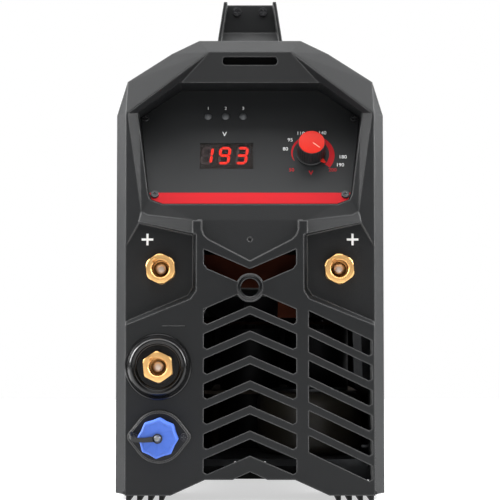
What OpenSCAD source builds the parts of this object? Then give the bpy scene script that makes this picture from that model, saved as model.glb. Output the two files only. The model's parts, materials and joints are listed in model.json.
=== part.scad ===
// Capacitor-discharge stud welder: moulded covers, steel case, sockets, control panel and inner parts.
// Millimetres. X runs across, Y from the front to the rear, Z up from the floor.
// The row's origin is the middle of the floor under the whole part.

/* [Case] */
// width across the moulded covers
body_w = 200; // [190:1:215]
// height of the covers' top edge over the floor
body_h = 343; // [335:1:360]
// length from the lower front face to the rear face
body_l = 420; // [400:1:460]
// wall of the moulded covers
wall = 3; // [2.5:0.1:3.5]
// sheet of the steel case
sheet_t = 1.2; // [1:0.1:1.6]
// length of the front cover
front_l = 64; // [62:1:70]
// length of the rear cover
rear_l = 56; // [50:1:64]
// how far the covers reach over the steel case
case_overlap = 12; // [10:0.5:14]
// gap between the covers' lower edge and the floor
foot_z = 4.2; // [3:0.1:6]

/* [Front cover] */
// depth of the lower face in front of the band beside it
pocket_depth = 10; // [8:0.5:11]
// height of the vent slots
vent_h = 12; // [9:0.5:12.5]
// distance from one vent slot to the next
vent_pitch = 18.3; // [17:0.1:18.5]
// number of chevron slots
chevron_count = 7; // [4:1:7]
// number of slanted slots on the right
slant_count = 6; // [3:1:6]
// radius of the hole in the ring boss
ring_hole_r = 6.6; // [5:0.1:7.2]

/* [Control panel] */
// lean of the control panel from upright, degrees
panel_tilt = 25; // [22:0.5:26]
// thickness of the control panel
panel_t = 2; // [1.5:0.1:2.5]
// radius of the knob's skirt
knob_r = 11; // [9:0.1:12]
// height of the knob without its cap
knob_h = 15.6; // [14:0.2:17]
// radius of the status lamps
lamp_r = 2.75; // [2:0.05:3]
// turn of the knob's pointer below level, to the right, degrees
pointer_turn = 40; // [0:1:45]

/* [Sockets] */
// bore of the welding sockets
socket_bore_r = 6.5; // [6:0.1:7]
// length of the bore
socket_bore_l = 16; // [14:0.5:17]
// size of the brass hexagons across their flats
socket_af = 22; // [20:0.5:23]
// height of the plus sockets over the floor
plus_z = 170.2; // [168:0.1:172]
// distance of the plus sockets from the middle, as a share of half the width
plus_share = 0.66; // [0.64:0.005:0.68]
// height of the gun socket over the floor
gun_z = 98.1; // [96:0.1:100]

/* [Control connector] */
// radius of the threaded barrel
barrel_r = 12; // [11:0.1:12.5]
// radius of the screw cap at its lobes
cap_r = 15; // [14.4:0.1:15.4]
// height of the connector over the floor
connector_z = 47; // [45:0.1:49]

/* [Handle] */
// rise of the handle over the covers
handle_rise = 40; // [36:1:48]
// width of the grip
grip_w = 34; // [32:0.5:35]
// height of the grip
grip_h = 20; // [18:0.5:22]
// distance of the front bracket behind the lower front face
bracket_y = 72; // [68:1:80]

/* [Fan and rear] */
// width of the square fan frame
fan_w = 120; // [100:1:122]
// depth of the fan frame
fan_l = 25; // [22:1:28]
// number of fan blades
blade_count = 7; // [5:1:9]
// bore of the cable gland
gland_bore_r = 5; // [4:0.1:5.5]
// swing of the mains rocker, degrees
rocker_swing = 22; // [16:1:24]

/* [Inside] */
// radius of the capacitor cans, as a share of the body's width
can_share = 0.1275; // [0.11:0.0025:0.1325]
// height of the capacitor cans
can_h = 100; // [90:1:108]
// thickness of the copper bars
bar_t = 4; // [3:0.5:5]

/* [Hidden] */
$fn = 64;

// overrun of every cut past the face it goes through
over = 1;
// clearance of a seated piece, of a bolt in its hole and of a turning piece
seat_gap = 0.3;
bolt_gap = 0.25;
run_gap = 0.05;

half_w = body_w / 2;
plus_x = plus_share * half_w;
handle_top_z = body_h + handle_rise;
// a length that passes every face of the part
reach = body_l + body_h;

// outline of the covers, as shares of the half width and of the height
top_share = 0.382;
brow_shares = [0.588, 0.971];
shoulder_shares = [0.921, 0.909];
side_top_share = 0.834;
// arch under the covers: shares of the half width, and heights
leg_share = 0.582;
arch_shares = [0.33, 0.128];
arch_z = 15.6;
apex_z = 21.4;
// depth of the rubber foot's seat in the leg
foot_seat = 2.5;

function mirrored(points) =
  concat(points, [for (i = [len(points) - 1:-1:0]) [-points[i][0], points[i][1]]]);
function left_normal(a, b) = let (d = (b - a) / norm(b - a)) [-d[1], d[0]];
// an outline moved inwards by a distance, or outwards by a negative one
function inset(points, by) = [
  for (i = [0:len(points) - 1])
    let (
      before = points[(i + len(points) - 1) % len(points)],
      after = points[(i + 1) % len(points)],
      n = left_normal(before, points[i]),
      m = left_normal(points[i], after)
    )
    points[i] + by * (n + m) / (1 + n * m)
];
function arch(base) = [
  [-leg_share * half_w, base],
  [-arch_shares[0] * half_w, arch_z],
  [-arch_shares[1] * half_w, arch_z],
  [0, apex_z],
  [arch_shares[1] * half_w, arch_z],
  [arch_shares[0] * half_w, arch_z],
  [leg_share * half_w, base]
];
function flank(base) = [
  [half_w, base],
  [half_w, side_top_share * body_h],
  [shoulder_shares[0] * half_w, shoulder_shares[1] * body_h],
  [brow_shares[0] * half_w, brow_shares[1] * body_h]
];
function brow() = [[top_share * half_w, body_h]];
function cover_outline(base) = concat(mirrored(concat(flank(base), brow())), arch(base));
function case_outline(base) = concat(mirrored(flank(base)), arch(base));

// places along Y, from the lower front face
rim_back = 12;
rim_y = pocket_depth + rim_back;
case_y = front_l - case_overlap;
case_end_y = body_l - rear_l + case_overlap;
leg_floor_z = foot_z + foot_seat;
case_top_z = brow_shares[1] * body_h - wall;
case_half = half_w - wall;
inner_half = case_half - sheet_t;

// front cover: band beside the lower face, and the ridge around the window
border_share = 0.925;
face_share = 0.916;
border_half = border_share * half_w;
face_half = face_share * half_w;
ridge_y = 7;
ridge_z = 206.5;
ridge_lean = 0.04;
ridge_shares = [0.419, 0.757, 0.806, 0.909, 0.303];
ridge_rises = [0, 3.7, 6.2, 79.9, 126.3];
ridge_right = [for (i = [0:4]) [ridge_shares[i] * half_w, ridge_z + ridge_rises[i]]];
// inner edge of the bevel around the window
sill_z = 218.5;
sill_y = 10;
sill_lean = 0.108;
inner_shares = [0.655, 0.743, 0.76, 0.842, 0.527];
inner_rises = [0, 3.5, 7.5, 69.3, 92.5];
inner_right = [for (i = [0:4]) [inner_shares[i] * half_w, sill_z + inner_rises[i]]];
inner_outline = mirrored(inner_right);
// how far the bevel's cut runs on past that edge
bevel_over = 0.8;
// pocket around each plus socket
pocket_in_share = 0.423;
pocket_top_share = 0.823;
lip_in_z = 195.7;
lip_out_z = 204.6;
cheek_z = 184.4;
pocket_low_in_z = 152.5;
pocket_low_out_z = 131.2;
pocket_draft = 2.6;
pocket_round = 4;
column_top_gap = 0.8;
// shield recess over the chevrons
shield_half = 35.8;
shield_side_z = 194.4;
shield_apex_z = 175.8;
shield_corner = 5;
shield_bow_shares = [0.3, 0.145];
shield_apex_y = 1;
shield_dimple_r = 1.6;
shield_dimple_z = 192;
shield_dimple_depth = 1.4;
// vents
vent_slope = 0.43;
vee_h = 13.3;
vee_top_z = 170;
chevron_half = 34;
chevron_top_z = 155;
vent_corner = 2.4;
slant_slope = 0.475;
slant_from_x = 43.2;
slant_to_x = 89.6;
slant_top_z = 139.2;
// ring boss
ring_z = 156.2;
ring_wall = 2.5;
ring_proud = 1.6;
ring_collar = 1.5;
ring_edge = 0.9;
// slot in the hood
hood_slot_half = 20.5;
hood_slot_z = 326.6;
hood_slot_h = 5.8;
hood_slot_r = 2.4;
hood_slot_back = 3;
// seat of the control panel
panel_set = 3;
panel_y = sill_y + panel_set;
panel_gap = 0.5;
panel_ledge = 11;

module convex_solid(points) {
  hull()
    polyhedron(points = points, faces = [[for (i = [0:len(points) - 1]) i]]);
}
module placed() {
  translate([0, y_shift, 0])
    children();
}
// an outline in X and Z, drawn out along Y
module along_y(from, to) {
  translate([0, to, 0])
    rotate([90, 0, 0])
      linear_extrude(height = to - from)
        children();
}
// an outline in Y and Z, drawn out along X
module along_x(from, to) {
  translate([from, 0, 0])
    rotate([90, 0, 90])
      linear_extrude(height = to - from)
        children();
}
// a round bar along Y at a place in X and Z
module rod(x, z, from, to, r) {
  translate([x, to, z])
    rotate([90, 0, 0])
      cylinder(h = to - from, r = r);
}
// children with +Z turned towards the viewer in front
module facing_front(x, y, z) {
  translate([x, y, z])
    rotate([90, 0, 0])
      children();
}
module facing_rear(x, y, z) {
  translate([x, y, z])
    rotate([-90, 0, 0])
      children();
}
module facing_right(x, y, z) {
  translate([x, y, z])
    rotate([0, 90, 0])
      children();
}
module both_sides() {
  children();
  mirror([1, 0, 0])
    children();
}
// children in the control panel's plane: X across, Z up the panel, Y into it
module on_panel() {
  translate([0, panel_y, sill_z])
    rotate([-panel_tilt, 0, 0])
      children();
}
// everything in front of a depth under the panel's face
module before_panel(depth) {
  on_panel()
    translate([-reach, -reach, -reach])
      cube([2 * reach, reach + depth, 2 * reach]);
}
function up_panel(z) = (z - sill_z) / cos(panel_tilt);
// a hexagon given by its width across the flats
module hexagon(af, h) {
  cylinder(h = h, r = af / 2 / cos(30), $fn = 6);
}
// a rounded bar's outline
module rounded_box(w, h, r) {
  hull_w = w - 2 * r;
  hull_h = h - 2 * r;
  square([hull_w, h], center = true);
  square([w, hull_h], center = true);
  for (x = [-1, 1])
    for (z = [-1, 1])
      translate([x * hull_w / 2, z * hull_h / 2])
        circle(r = r);
}
// screw with its head's seat at the origin, shank down
drive_w_share = 0.22;
drive_l_share = 1.15;
drive_depth_share = 0.55;
module screw(head_r, head_h, shank_r, shank_l) {
  difference() {
    union() {
      cylinder(h = head_h, r = head_r);
      translate([0, 0, -shank_l])
        cylinder(h = shank_l, r = shank_r);
    }
    for (turn = [0, 90])
      rotate([0, 0, turn])
        translate([0, 0, head_h * (1 - drive_depth_share) + head_h / 2])
          cube([drive_l_share * head_r, drive_w_share * head_r, head_h], center = true);
  }
}

// outlines of the front cover
arch_cut = concat(
  [[-leg_share * half_w, foot_z - over]],
  arch(foot_z),
  [[leg_share * half_w, foot_z - over]]
);
function front_flank(base) = [
  [face_half, base],
  [face_half, cheek_z],
  [pocket_top_share * half_w, lip_out_z],
  [pocket_in_share * half_w, lip_in_z],
  [pocket_in_share * half_w, ridge_z - column_top_gap]
];
function face_outline(base) = concat(mirrored(front_flank(base)), arch(base));
function on_ridge(p) = [p[0], ridge_y + (p[1] - ridge_z) * ridge_lean, p[1]];
function on_sill(p) = [p[0], sill_y + (p[1] - sill_z) * sill_lean, p[1]];
function at_y(points, y) = [for (p = points) [p[0], y, p[1]]];
border_right = [[border_half, foot_z], [border_half, ridge_right[3][1]]];
front_points = concat(
  at_y(mirrored(concat(flank(foot_z), brow())), rim_y),
  at_y(mirrored(border_right), pocket_depth),
  [for (p = mirrored(ridge_right)) on_ridge(p)]
);
window_points = concat(
  at_y(mirrored(ridge_right), -over),
  [for (p = mirrored(ridge_right)) on_ridge(p)],
  [for (p = inset(inner_outline, bevel_over)) on_sill(p) + [0, bevel_over, 0]]
);
ledge_points = concat(
  at_y([[pocket_top_share * half_w, lip_out_z], [pocket_in_share * half_w, lip_in_z]], 0),
  [for (i = [0:2]) on_ridge(ridge_right[i])],
  at_y([
    [pocket_top_share * half_w, lip_out_z],
    [pocket_in_share * half_w, lip_in_z],
    ridge_right[0],
    ridge_right[2]
  ], pocket_depth)
);
// pocket floor, open to the side, with its inner corner cut back
pocket_in = pocket_in_share * half_w;
pocket_floor = [
  [border_half + wall, pocket_low_out_z - wall * slant_slope],
  [border_half + wall, cheek_z - wall],
  [border_half, cheek_z],
  [pocket_top_share * half_w, lip_out_z],
  [pocket_in, lip_in_z],
  [pocket_in, pocket_low_in_z + pocket_round],
  [pocket_in + pocket_round, pocket_low_in_z - pocket_round * slant_slope]
];
pocket_mouth = [
  [border_half + wall, pocket_low_out_z - pocket_draft - wall * slant_slope],
  [border_half + wall, cheek_z - wall],
  [border_half, cheek_z],
  [pocket_top_share * half_w, lip_out_z],
  [pocket_in - pocket_draft, lip_in_z],
  [pocket_in - pocket_draft, pocket_low_in_z + pocket_round - pocket_draft],
  [pocket_in + pocket_round - pocket_draft, pocket_low_in_z - pocket_round * slant_slope - pocket_draft]
];
pocket_back = [
  [face_half, pocket_low_out_z - pocket_draft - wall],
  [face_half, cheek_z],
  [pocket_top_share * half_w, lip_out_z],
  [pocket_in - pocket_draft - wall, lip_in_z],
  [pocket_in - pocket_draft - wall, pocket_low_in_z - pocket_draft - 2 * wall]
];
shield_slope = (shield_side_z - shield_apex_z) / shield_half;
shield_bow = shield_corner * shield_bow_shares;
shield_right = [
  [shield_half - shield_corner, shield_side_z - shield_corner * shield_slope],
  [shield_half - shield_bow[0], shield_side_z + shield_bow[1]],
  [shield_half, shield_side_z + shield_corner],
  [shield_half, ridge_z]
];
shield_outline = concat([[0, shield_apex_z]], mirrored(shield_right));
shield_lean = atan((ridge_y - shield_apex_y) / (ridge_z - shield_apex_z));
shield_dimple_y = shield_apex_y + (shield_dimple_z - shield_apex_z) * tan(shield_lean);

// a slot that bends once in the middle, with its outer corners cut
module bent_slot(apex_z, slope, h, half) {
  drop = slope * half;
  low = apex_z - h;
  polygon([
    [0, apex_z],
    [-half, apex_z - drop],
    [-half, low - drop + vent_corner],
    [-half + vent_corner, low - drop + vent_corner * slope],
    [0, low],
    [half - vent_corner, low - drop + vent_corner * slope],
    [half, low - drop + vent_corner],
    [half, apex_z - drop]
  ]);
}
module slanted_slot(top_z) {
  run = slant_to_x - slant_from_x;
  drop = run * slant_slope;
  low = top_z - vent_h;
  polygon([
    [slant_from_x, top_z],
    [slant_from_x, low],
    [slant_to_x - vent_corner, low - drop + vent_corner * slant_slope],
    [slant_to_x, low - drop + vent_corner],
    [slant_to_x, top_z - drop]
  ]);
}
module front_vents() {
  along_y(-over, wall + over)
    bent_slot(vee_top_z, -vent_slope, vee_h, chevron_half);
  for (i = [0:chevron_count - 1])
    along_y(-over, wall + over)
      bent_slot(chevron_top_z - i * vent_pitch, vent_slope, vent_h, chevron_half);
  for (i = [0:slant_count - 1])
    along_y(-over, wall + over)
      slanted_slot(slant_top_z - i * vent_pitch);
}
module ring_boss() {
  ring_r = ring_hole_r + ring_wall;
  facing_front(0, 0, ring_z)
    rotate_extrude()
      polygon([
        [ring_hole_r, -wall],
        [ring_r + ring_collar, -wall],
        [ring_r + ring_collar, 0],
        [ring_r, 0],
        [ring_r, ring_proud],
        [ring_r - ring_edge, ring_proud + ring_edge],
        [ring_hole_r + ring_edge, ring_proud + ring_edge],
        [ring_hole_r, ring_proud]
      ]);
}

// places of the fasteners that hold the covers
cover_screw_shares = [0.169, 0.694];
cover_screw_zs = cover_screw_shares * body_h;
cover_screw_in = 6;
screw_head_r = 4;
screw_head_h = 2.4;
screw_r = 2;
cover_screw_l = 9;
foot_w = 32;
foot_l = 36;
foot_in_y = 8;
foot_share = 0.7735;
rib_count = 4;
rib_w = 3.4;
rib_pitch = 8.1;

module leg_seats() {
  both_sides()
    translate([foot_share * half_w - foot_w / 2, foot_in_y, foot_z - over])
      cube([foot_w, foot_l, foot_seat + over]);
}
module side_holes(y) {
  for (z = cover_screw_zs)
    translate([-reach / 2, y, z])
      rotate([0, 90, 0])
        cylinder(h = reach, r = screw_r + bolt_gap);
}
panel_screw_in = 4.2;
panel_screw_drop = 0.8;
panel_screw_low_in = 4.8;
panel_screw_right = [
  inner_right[3] - [panel_screw_in, panel_screw_drop],
  inner_right[2] - [panel_screw_low_in, 0]
];
panel_screw_places = mirrored(panel_screw_right);
panel_screw_r = 1.5;
panel_screw_head_r = 2.8;
panel_screw_head_h = 1.6;
panel_screw_l = 6;
connector_share = 0.665;
connector_x = -connector_share * half_w;
gun_share = 0.673;
gun_x = -gun_share * half_w;
insulator_r = 14;
shell_r = 11.5;
connector_screw_span = 18.3;
connector_screw_r = 1.5;

module front_cover() {
  color("#3a3b3c")
    placed()
      union() {
        difference() {
          union() {
            difference() {
              union() {
                convex_solid(front_points);
                along_y(rim_y, front_l)
                  polygon(cover_outline(foot_z));
                along_y(0, rim_y)
                  polygon(face_outline(foot_z));
                both_sides()
                  convex_solid(ledge_points);
              }
              along_y(-over, rim_y + over)
                polygon(arch_cut);
              along_y(wall, rim_y + wall + over)
                polygon(inset(face_outline(leg_floor_z), wall));
              along_y(rim_y + wall, case_y)
                polygon(inset(cover_outline(leg_floor_z), wall));
              along_y(case_y - over, front_l + over)
                polygon(inset(case_outline(leg_floor_z), wall));
            }
            intersection() {
              along_y(rim_y + over, reach)
                polygon(inset(inner_outline, -wall));
              before_panel(panel_t + wall);
            }
            both_sides()
              along_y(wall, pocket_depth + wall)
                polygon(pocket_back);
            along_y(wall, ridge_y + wall)
              polygon(inset(shield_outline, -wall));
          }
          convex_solid(window_points);
          intersection() {
            along_y(-over, reach)
              polygon(inner_outline);
            before_panel(panel_t);
          }
          along_y(-over, reach)
            polygon(mirrored([
              [inner_right[1][0] - panel_ledge, inner_right[0][1] + panel_ledge],
              [inner_right[3][0] - panel_ledge, inner_right[3][1] - panel_ledge],
              [inner_right[4][0] - panel_ledge, inner_right[4][1] - panel_ledge]
            ]));
          both_sides()
            convex_solid(concat(
              at_y(pocket_mouth, 0),
              at_y(pocket_mouth, -over),
              at_y(pocket_floor, pocket_depth)
            ));
          intersection() {
            along_y(-over, ridge_y)
              polygon(shield_outline);
            translate([-reach / 2, shield_apex_y, shield_apex_z])
              rotate([-shield_lean, 0, 0])
                translate([0, -reach, -reach / 2])
                  cube([reach, reach, reach]);
          }
          rod(0, shield_dimple_z, -over, shield_dimple_y + shield_dimple_depth, shield_dimple_r);
          front_vents();
          rod(0, ring_z, -over, wall + over, ring_hole_r + ring_wall / 2);
          for (x = [-1, 1])
            rod(
              x * plus_x, plus_z, pocket_depth - over, pocket_depth + wall + over, socket_body_r + bolt_gap
            );
          rod(gun_x, gun_z, -over, wall + over, insulator_r + bolt_gap);
          rod(connector_x, connector_z, -over, wall + over, shell_r + bolt_gap);
          for (x = [-1, 1])
            rod(
              connector_x + x * connector_screw_span, connector_z, -over, wall + over,
              connector_screw_r + bolt_gap
            );
          along_y(0, rim_y - hood_slot_back)
            translate([0, hood_slot_z])
              rounded_box(2 * hood_slot_half, hood_slot_h, hood_slot_r);
          side_holes(case_y + cover_screw_in);
          for (p = panel_screw_places)
            on_panel()
              rod(p[0], up_panel(p[1]), 0, panel_t + 2 * wall, panel_screw_r + bolt_gap);
          leg_seats();
        }
        ring_boss();
      }
}

// rear cover
rear_chamfer = 12;
rear_inset = 7;
foot_rear_in = 14;
fan_z = 112;
fan_wall = 4;
fan_hole_in = 7.5;
fan_screw_r = 2;
rear_vent_count = 3;
rear_vent_top_z = 246;
switch_x = 52;
switch_drop = 61;
switch_z = body_h - switch_drop;
switch_w = 20;
switch_h = 28;
gland_x = -52;
gland_z = switch_z;
gland_neck_r = 10;
fan_bore_r = fan_w / 2 - fan_wall;
fan_hole = fan_w / 2 - fan_hole_in;
foot_rear_y = body_l - foot_rear_in - foot_l;
rear_screw_y = body_l - rear_l + cover_screw_in;

module rear_cover() {
  color("#3a3b3c")
    placed()
      difference() {
        union() {
          convex_solid(concat(
            at_y(mirrored(concat(flank(foot_z), brow())), body_l - rear_chamfer),
            at_y(inset(mirrored(concat(flank(foot_z), brow())), rear_inset), body_l)
          ));
          along_y(body_l - rear_l, body_l - rear_chamfer)
            polygon(cover_outline(foot_z));
        }
        along_y(body_l - rear_chamfer - over, body_l + over)
          polygon(arch_cut);
        along_y(body_l - rear_l - over, body_l - rear_l + case_overlap + over)
          polygon(inset(case_outline(leg_floor_z), wall));
        along_y(body_l - rear_l + case_overlap, body_l - rear_chamfer)
          polygon(inset(cover_outline(leg_floor_z), wall));
        along_y(body_l - rear_chamfer - over, body_l - wall)
          polygon(inset(mirrored(concat(flank(apex_z), brow())), rear_inset + wall));
        rod(0, fan_z, body_l - wall - over, body_l + over, fan_bore_r);
        for (x = [-1, 1])
          for (z = [-1, 1])
            rod(
              x * fan_hole, fan_z + z * fan_hole, body_l - wall - over, body_l + over,
              fan_screw_r + bolt_gap
            );
        for (i = [0:rear_vent_count - 1])
          along_y(body_l - wall - over, body_l + over)
            bent_slot(rear_vent_top_z - i * vent_pitch, vent_slope, vent_h, chevron_half);
        along_y(body_l - wall - over, body_l + over)
          translate([switch_x, switch_z])
            square([switch_w, switch_h], center = true);
        rod(gland_x, gland_z, body_l - wall - over, body_l + over, gland_neck_r + bolt_gap);
        side_holes(rear_screw_y);
        translate([0, foot_rear_y - foot_in_y, 0])
          leg_seats();
      }
}

// steel case, base and deck
case_low_z = 20;
side_vent_count = 9;
side_vent_w = 6;
side_vent_h = 52;
side_vent_lean = 22;
side_vent_pitch = 13;
side_vent_y = 82;
side_vent_z = 196;
side_vent_low_y = 196;
side_vent_low_z = 84;
base_z = 25;
base_t = 1.5;
base_in = 2;
lip_low_z = 11;
lip_in = 12;
flange_h = 13;
deck_z = 158;
deck_y = 112;
deck_front = 8;
deck_end = 70;
deck_l = body_l - deck_y - deck_end;
case_screw_up = 7.5;
case_screw_shares = [0.185, 0.495, 0.845];
case_screw_ys = [for (s = case_screw_shares) case_y + s * (case_end_y - case_y)];
case_screw_l = 8;
base_top_z = base_z + base_t;
bolt_foot_r = 3;
bracket_bolt_x = 12;
bracket_l = 28;
bracket_bolt_in = 23.5;
bracket_bolt_ys = [bracket_y + bracket_bolt_in, body_l - bracket_y - bracket_bolt_in];
case_screw_zs = [base_z + case_screw_up, deck_z - case_screw_up + base_t];

module side_vents(y, z) {
  for (i = [0:side_vent_count - 1])
    translate([0, y + i * side_vent_pitch, z])
      along_x(-reach / 2, reach / 2)
        polygon([
          [0, 0],
          [side_vent_w, 0],
          [side_vent_w + side_vent_lean, side_vent_h],
          [side_vent_lean, side_vent_h]
        ]);
}
module case_screw_holes() {
  for (y = case_screw_ys)
    for (z = case_screw_zs)
      translate([-reach / 2, y, z])
        rotate([0, 90, 0])
          cylinder(h = reach, r = screw_r + bolt_gap);
}
module case_wrap() {
  color("#8d9093")
    placed()
      difference() {
        along_y(case_y, case_end_y)
          polygon(inset(mirrored(flank(foot_z)), wall));
        along_y(case_y - over, case_end_y + over)
          polygon(inset(mirrored(flank(foot_z)), wall + sheet_t));
        translate([-reach / 2, 0, case_low_z - reach])
          cube([reach, reach, reach]);
        side_holes(case_y + cover_screw_in);
        side_holes(rear_screw_y);
        side_vents(side_vent_y, side_vent_z);
        side_vents(side_vent_low_y, side_vent_low_z);
        case_screw_holes();
        for (x = [-1, 1])
          for (y = bracket_bolt_ys)
            translate([x * bracket_bolt_x, y, case_top_z - wall])
              cylinder(h = 2 * wall, r = bolt_foot_r + bolt_gap);
      }
}
// a tray of steel sheet with its two long edges folded
module folded_tray(y, l, z, up) {
  difference() {
    union() {
      translate([-inner_half, y, z])
        cube([2 * inner_half, l, base_t]);
      both_sides()
        translate([inner_half - base_t, y, up ? z : z - flange_h + base_t])
          cube([base_t, l, flange_h]);
    }
    case_screw_holes();
  }
}
module base_plate() {
  color("#a9adb0")
    placed()
      difference() {
        union() {
          folded_tray(case_y + base_in, case_end_y - case_y - 2 * base_in, base_z, true);
          for (y = [case_y + base_in, case_end_y - base_in - base_t])
            both_sides()
              translate([leg_share * half_w, y, lip_low_z])
                cube([inner_half - leg_share * half_w, base_t, base_z - lip_low_z + base_t]);
          for (y = [case_y + base_in, case_end_y - base_in - base_t])
            both_sides()
              translate([lip_in, y, case_low_z])
                cube([leg_share * half_w - lip_in, base_t, base_z - case_low_z + base_t]);
        }
        translate([coil_x, coil_y, base_z - over])
          cylinder(h = base_t + 2 * over, r = hold_bolt_r + bolt_gap);
      }
}
module deck_plate() {
  color("#a9adb0")
    placed()
      folded_tray(deck_y - deck_front, deck_l + deck_front, deck_z, false);
}
module rubber_feet() {
  color("#161616")
    placed()
      for (y = [foot_in_y, foot_rear_y])
        both_sides()
          translate([foot_share * half_w, y + seat_gap, 0]) {
            translate([-foot_w / 2 + seat_gap, 0, foot_z])
              cube([foot_w - 2 * seat_gap, foot_l - 2 * seat_gap, foot_seat]);
            for (i = [0:rib_count - 1])
              translate([(i - (rib_count - 1) / 2) * rib_pitch - rib_w / 2, 0, 0])
                cube([rib_w, foot_l - 2 * seat_gap, foot_z]);
          }
}
module cover_screws() {
  color("#2b2b2b")
    placed()
      for (y = [case_y + cover_screw_in, rear_screw_y])
        for (z = cover_screw_zs)
          both_sides()
            facing_right(half_w, y, z)
              screw(screw_head_r, screw_head_h, screw_r, cover_screw_l);
}
module case_screws() {
  color("#b5b8ba")
    placed()
      for (y = case_screw_ys)
        for (z = case_screw_zs)
          both_sides()
            facing_right(case_half, y, z)
              screw(screw_head_r, screw_head_h, screw_r, case_screw_l);
}

// handle
bracket_top_half = 20.5;
bracket_base_half = 28.8;
bracket_side = 2.6;
bracket_web_in = 9;
bracket_web = 3;
bracket_floor_z = 351;
bracket_floor_rise = 9;
bracket_top_drop = 0.8;
bracket_foot = 5;
bracket_rib = 4;
handle_screw_x = 10.2;
handle_screw_drop = 6.6;
handle_screw_r = 2;
handle_screw_head_r = 3.3;
handle_screw_head_h = 2.2;
handle_screw_l = 15;
grip_round = 7;
web_y = bracket_y + bracket_web_in;
grip_y = web_y + bracket_web;
grip_z = handle_top_z - bracket_top_drop - grip_h / 2;
handle_screw_z = handle_top_z - handle_screw_drop;

function bracket_right(low) = let (
  lean = (bracket_base_half - bracket_top_half) / (handle_top_z - case_top_z)
) [[bracket_base_half - lean * (low - case_top_z), low], [bracket_top_half, handle_top_z]];
module grip_outline(gap) {
  translate([0, grip_z])
    rounded_box(grip_w + 2 * gap, grip_h + 2 * gap, grip_round);
}
module handle_bracket() {
  difference() {
    along_y(bracket_y, bracket_y + bracket_l)
      polygon(mirrored(bracket_right(case_top_z)));
    intersection() {
      along_y(bracket_y - over, web_y)
        polygon(inset(mirrored([
          bracket_right(bracket_floor_z - wall)[0],
          bracket_right(case_top_z)[1]
        ]), bracket_side));
      along_x(-reach / 2, reach / 2)
        polygon([
          [bracket_y - over, bracket_floor_z],
          [bracket_y, bracket_floor_z],
          [web_y, bracket_floor_z + bracket_floor_rise],
          [web_y, handle_top_z - bracket_side],
          [bracket_y - over, handle_top_z - bracket_side]
        ]);
    }
    translate([-bracket_top_half + bracket_side, bracket_y - over, handle_top_z - bracket_side - over])
      cube([2 * (bracket_top_half - bracket_side), bracket_web_in + over, bracket_side + 2 * over]);
    translate([-bracket_top_half + bracket_side, web_y - over, handle_top_z - bracket_top_drop])
      cube([2 * (bracket_top_half - bracket_side), bracket_l, bracket_top_drop + over]);
    along_y(grip_y, bracket_y + bracket_l + over) {
      grip_outline(0);
      translate([0, grip_z + grip_h / 2])
        square([grip_w, grip_h], center = true);
    }
    translate([-bracket_base_half + 2 * bracket_rib, grip_y + bracket_rib, case_top_z + bracket_foot])
      cube([
        2 * (bracket_base_half - 2 * bracket_rib),
        bracket_l,
        grip_z - grip_h / 2 - bracket_rib - case_top_z - bracket_foot
      ]);
    for (x = [-1, 1]) {
      rod(x * handle_screw_x, handle_screw_z, web_y - over, grip_y + over, handle_screw_r + bolt_gap);
      translate([x * bracket_bolt_x, bracket_y + bracket_bolt_in, case_top_z - over])
        cylinder(h = bracket_foot + 2 * over, r = bolt_foot_r + bolt_gap);
    }
  }
}
module at_rear() {
  translate([0, body_l, 0])
    mirror([0, 1, 0])
      children();
}
module handle_bracket_front() {
  color("#2e2f30")
    placed()
      handle_bracket();
}
module handle_bracket_rear() {
  color("#2e2f30")
    placed()
      at_rear()
        handle_bracket();
}
module handle_grip() {
  color("#232425")
    placed()
      difference() {
        along_y(grip_y, body_l - grip_y)
          grip_outline(0);
        for (x = [-1, 1]) {
          rod(
            x * handle_screw_x, handle_screw_z, grip_y - over, grip_y + handle_screw_l,
            handle_screw_r + bolt_gap
          );
          rod(
            x * handle_screw_x, handle_screw_z, body_l - grip_y - handle_screw_l, body_l - grip_y + over,
            handle_screw_r + bolt_gap
          );
        }
      }
}
module handle_screw_pair() {
  for (x = [-1, 1])
    facing_front(x * handle_screw_x, web_y, handle_screw_z)
      screw(handle_screw_head_r, handle_screw_head_h, handle_screw_r, handle_screw_l);
}
module handle_screws() {
  color("#1d1d1d")
    placed() {
      handle_screw_pair();
      at_rear()
        handle_screw_pair();
    }
}
bracket_bolt_head_r = 4;
bracket_bolt_head_h = 4;
bracket_bolt_l = 14;
module bracket_bolts() {
  color("#1d1d1d")
    placed()
      for (x = [-1, 1])
        for (y = bracket_bolt_ys)
          translate([x * bracket_bolt_x, y, case_top_z + bracket_foot])
            screw(bracket_bolt_head_r, bracket_bolt_head_h, bolt_foot_r, bracket_bolt_l);
}

// control panel and what it carries
window_x = -17.75;
window_z = 256.8;
window_w = 40.4;
window_h = 22.8;
lamp_mid_x = -18.7;
lamp_pitch = 13.45;
lamp_xs = [for (i = [-1:1]) lamp_mid_x + i * lamp_pitch];
lamp_z = 288.7;
lamp_proud = 1.2;
lamp_flange = 0.5;
lamp_flange_t = 1;
knob_x = 46.2;
knob_z = 258.5;
knob_lift = 1;
knob_roof = 1;
bushing_r = 3.5;
bushing_l = 5;
shaft_r = 3;
nut_af = 10;
nut_h = 2;
board_gap = 12;
board_t = 1.6;
board_half = 60;
board_low = 14;
board_high = 80;
module_side = 1.8;
pillar_af = 5.5;
pillar_share = 0.54;
pillar_x = pillar_share * half_w;
pillar_in = 5;
knob_hollow_r = 8;
knob_hollow = 6;
knob_top_share = 0.93;
knob_cap_r_share = 0.86;
knob_cap_h = 1;
pointer_w = 5;
pointer_out = 3.2;
pointer_h = 3;
shaft_in = 8;
pot_r = 8.5;
knob_top = knob_lift + knob_h;

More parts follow.
